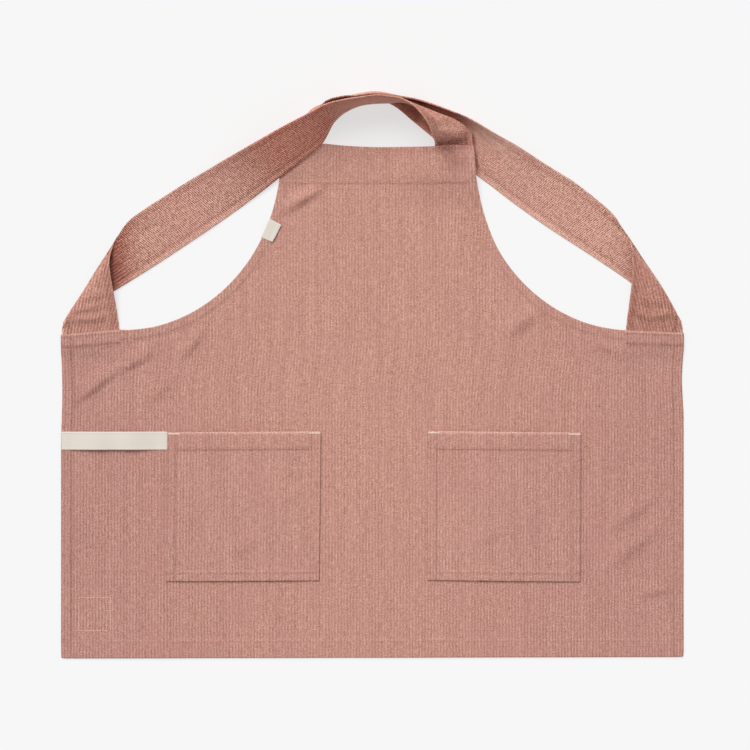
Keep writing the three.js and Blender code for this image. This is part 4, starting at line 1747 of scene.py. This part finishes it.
@dataclass
class TowelLoop:
    """A twill tape sewn at both ends, with a low arch between them."""

    body: BodyPanel
    width: float = 25.4
    y: float = 306.5
    start: float = -439.5
    end: float = -290.4
    sewn_end: float = 14.0
    arch: float = 6.5
    fullness: float = 1.3
    sag: float = 0.5
    cupping: float = 0.4
    bridge: float = 40.0
    cloth: float = 1.0
    sewn_gap: float = 0.15
    selvedge: float = 0.35
    rim_steps: tuple[float, ...] = (0.0, 0.5, 1.0, 1.6, 2.4, 3.4, 5.0)
    flat_half: float = 7.0
    sewn_rows: int = 11
    row_inset: float = 2.2
    row_spans: tuple[tuple[float, float], ...] = ((138.6, 148.3), (1.5, 12.0))

    def layers(self, x: Array, across: Array) -> tuple[Array, Array]:
        """Give both sides of the tape.

        Args:
            x: Places along the tape.
            across: Places across it, from its middle.

        Returns:
            The upper and the under side's pattern points.
        """
        body = self.body
        free = self.end - self.start - 2 * self.sewn_end
        rise = np.sin(np.pi * np.clip((x - self.start - self.sewn_end) / free, 0.0, 1.0))
        bow = self.arch * rise ** self.fullness * (1.0 - self.sag * rise ** 8)
        edge = np.abs(across) / (self.width / 2)
        cupped = self.cupping * edge ** 2 * rise
        y = self.y + across
        bridged = body.hem_turn * (1.0 - eased((x + body.half_width - body.side_hem.reach) / self.bridge))
        low = body.lift(x, y) + body.cloth + bridged + self.sewn_gap + np.maximum(bow - cupped, 0.0)
        thick = self.cloth * (1.0 - 0.25 * edge ** 8) + self.selvedge * sewn_line(edge - 0.9, 0.07)
        return layered(x, y, low, thick)

    def seams(self) -> list[Seam]:
        """Lay out the rows of fine stitches that hold both ends.

        Returns:
            The rows.
        """
        found = []
        reach = self.width / 2 - self.row_inset
        for first, last in self.row_spans:
            x = np.linspace(self.start + first, self.start + last, 12)
            for across in np.linspace(-reach, reach, self.sewn_rows):
                points = self.layers(x, np.full_like(x, across))[0]
                found.append(Seam(points, np.tile((0.0, 0.0, 1.0), (len(x), 1))))
        return found

    def build(self, wardrobe: Wardrobe) -> Piece:
        """Make the tape and its end stitches.

        Args:
            wardrobe: The finishes.

        Returns:
            The tape.
        """
        rim = self.width / 2 - np.array(self.rim_steps)
        offsets = np.concatenate((-rim, np.linspace(-self.flat_half, self.flat_half, 9), rim[::-1]))
        x, across = np.meshgrid(np.linspace(self.start, self.end, 101), offsets)
        weave = np.stack((across, x), axis=-1)
        tape = sewn_sheet("towel_loop_tape", self.layers(x, across), weave, wardrobe.tape)
        carried(tape, Slot.TAPE, "towel_loop")
        fine = Stitching(pitch=2.0, length=1.6, width=0.45, height=0.4)
        sewing = fine.sewn("towel_loop_stitches", self.seams(), wardrobe.ecru, Slot.TAPE)
        return tape


@dataclass
class ClothTag:
    """A small bare tag sewn over the edge of the left armhole."""

    body: BodyPanel
    low_left: tuple[float, float] = (-157.4, 594.2)
    low_right: tuple[float, float] = (-141.2, 587.8)
    high_right: tuple[float, float] = (-128.9, 611.9)
    high_left: tuple[float, float] = (-145.3, 620.8)
    size: tuple[float, float] = (18.5, 29.0)
    cloth: float = 0.8
    curl: float = 0.5
    sewn_gap: float = 0.15
    cells: tuple[int, int] = (14, 20)

    def build(self, wardrobe: Wardrobe) -> Piece:
        """Make the tag.

        Args:
            wardrobe: The finishes.

        Returns:
            The tag.
        """
        across, along = np.meshgrid(*(np.linspace(0.0, 1.0, count + 1) for count in self.cells))
        x, y = ((low_left * (1 - across) + low_right * across) * (1 - along)
                + (high_left * (1 - across) + high_right * across) * along
                for low_left, low_right, high_right, high_left
                in zip(self.low_left, self.low_right, self.high_right, self.high_left))
        curl = self.curl * eased((across - 0.6) / 0.4) * (1.0 + 0.4 * np.sin(7.0 * along))
        low = self.body.lift(x, y) + self.body.cloth + self.body.hem_turn + self.sewn_gap + curl
        weave = np.stack((across * self.size[0], along * self.size[1]), axis=-1)
        tag = sewn_sheet("label_tag_cloth", layered(x, y, low, self.cloth), weave, wardrobe.tape)
        carried(tag, Slot.TAPE, "label_tag")
        return tag


@dataclass
class Studio:
    """A pale floor under one broad, far light and an even sky, seen from straight above."""

    floor_size: float = 6.0
    floor_drop: float = 0.0004
    camera_over: Point = (3.8, 399.6, 0.0)
    camera_height: float = 2.5
    seen_width: float = 1.06275
    sensor: float = 36.0
    sky: float = 0.46
    sky_colour: Colour = (1.0, 1.0, 1.0, 1.0)
    light_share: float = 0.62
    light_turns: tuple[float, float] = (-38.0, -22.0)
    light_spread: float = 42.0

    def placed(self, name: str, data: bpy.types.ID) -> Piece:
        """Put a light or a camera into the scene.

        Args:
            name: Its name.
            data: The light or camera.

        Returns:
            The new object.
        """
        thing = bpy.data.objects.new(name, data)
        bpy.context.scene.collection.objects.link(thing)
        return thing

    def lay_floor(self) -> None:
        """Make the floor just under the apron."""
        shape = bmesh.new()
        bmesh.ops.create_grid(shape, x_segments=1, y_segments=1, size=self.floor_size / 2)
        bmesh.ops.translate(shape, verts=shape.verts[:], vec=(0.0, 0.0, -self.floor_drop))
        finished("studio_floor", shape, PaleFloor().make())

    def light_up(self) -> None:
        """Add the even sky, and the light, whose share of the floor's brightness is given."""
        world = bpy.data.worlds.new("studio_sky")
        world.use_nodes = True
        background = world.node_tree.nodes["Background"]
        background.inputs["Color"].default_value = self.sky_colour
        background.inputs["Strength"].default_value = self.sky
        bpy.context.scene.world = world
        about_x, about_y = (math.radians(turn) for turn in self.light_turns)
        lamp = bpy.data.lights.new("window_light", "SUN")
        lamp.energy = self.light_share * math.pi / (math.cos(about_x) * math.cos(about_y))
        lamp.angle = math.radians(self.light_spread)
        self.placed("window_light", lamp).rotation_euler = (about_x, about_y, 0.0)

    def build(self) -> None:
        """Make the floor, the light and the camera."""
        scene = bpy.context.scene
        scene.view_settings.view_transform = "Standard"
        self.lay_floor()
        self.light_up()
        lens = bpy.data.cameras.new("overhead_camera")
        lens.sensor_fit = "HORIZONTAL"
        lens.sensor_width = self.sensor
        lens.lens = self.sensor * self.camera_height / self.seen_width
        camera = self.placed("overhead_camera", lens)
        over = Vector(laid_out(np.array(self.camera_over)))
        camera.location = over + Vector((0.0, 0.0, self.camera_height))
        scene.camera = camera
        LOG.info("studio: floor, light and camera")


def main() -> None:
    """Build the studio and every piece of the apron."""
    logging.basicConfig(level=logging.INFO, format="%(message)s")
    Studio().build()
    wardrobe = Wardrobe()
    body = BodyPanel()
    left_folds = (Ridge(4, -54, 30, 44, 20, 13, 1.6), Ridge(69, 15, 30, 16, 9, 6, 1.0))
    right_folds = (Ridge(-20, -40, 34, 40, 20, 14, 1.2),)
    parts = (
        body,
        *STRAPS,
        PatchPocket(body, Side.LEFT, x=-182.5, y=213.5, slope=0.3, lean=-0.7, folds=left_folds),
        PatchPocket(body, Side.RIGHT, x=186.5, y=213.5, slope=-0.6, lean=-0.2, folds=right_folds),
        TowelLoop(body),
        ClothTag(body),
    )
    for part in parts:
        LOG.info("built %s", part.build(wardrobe).name)


if __name__ == "__main__":
    main()
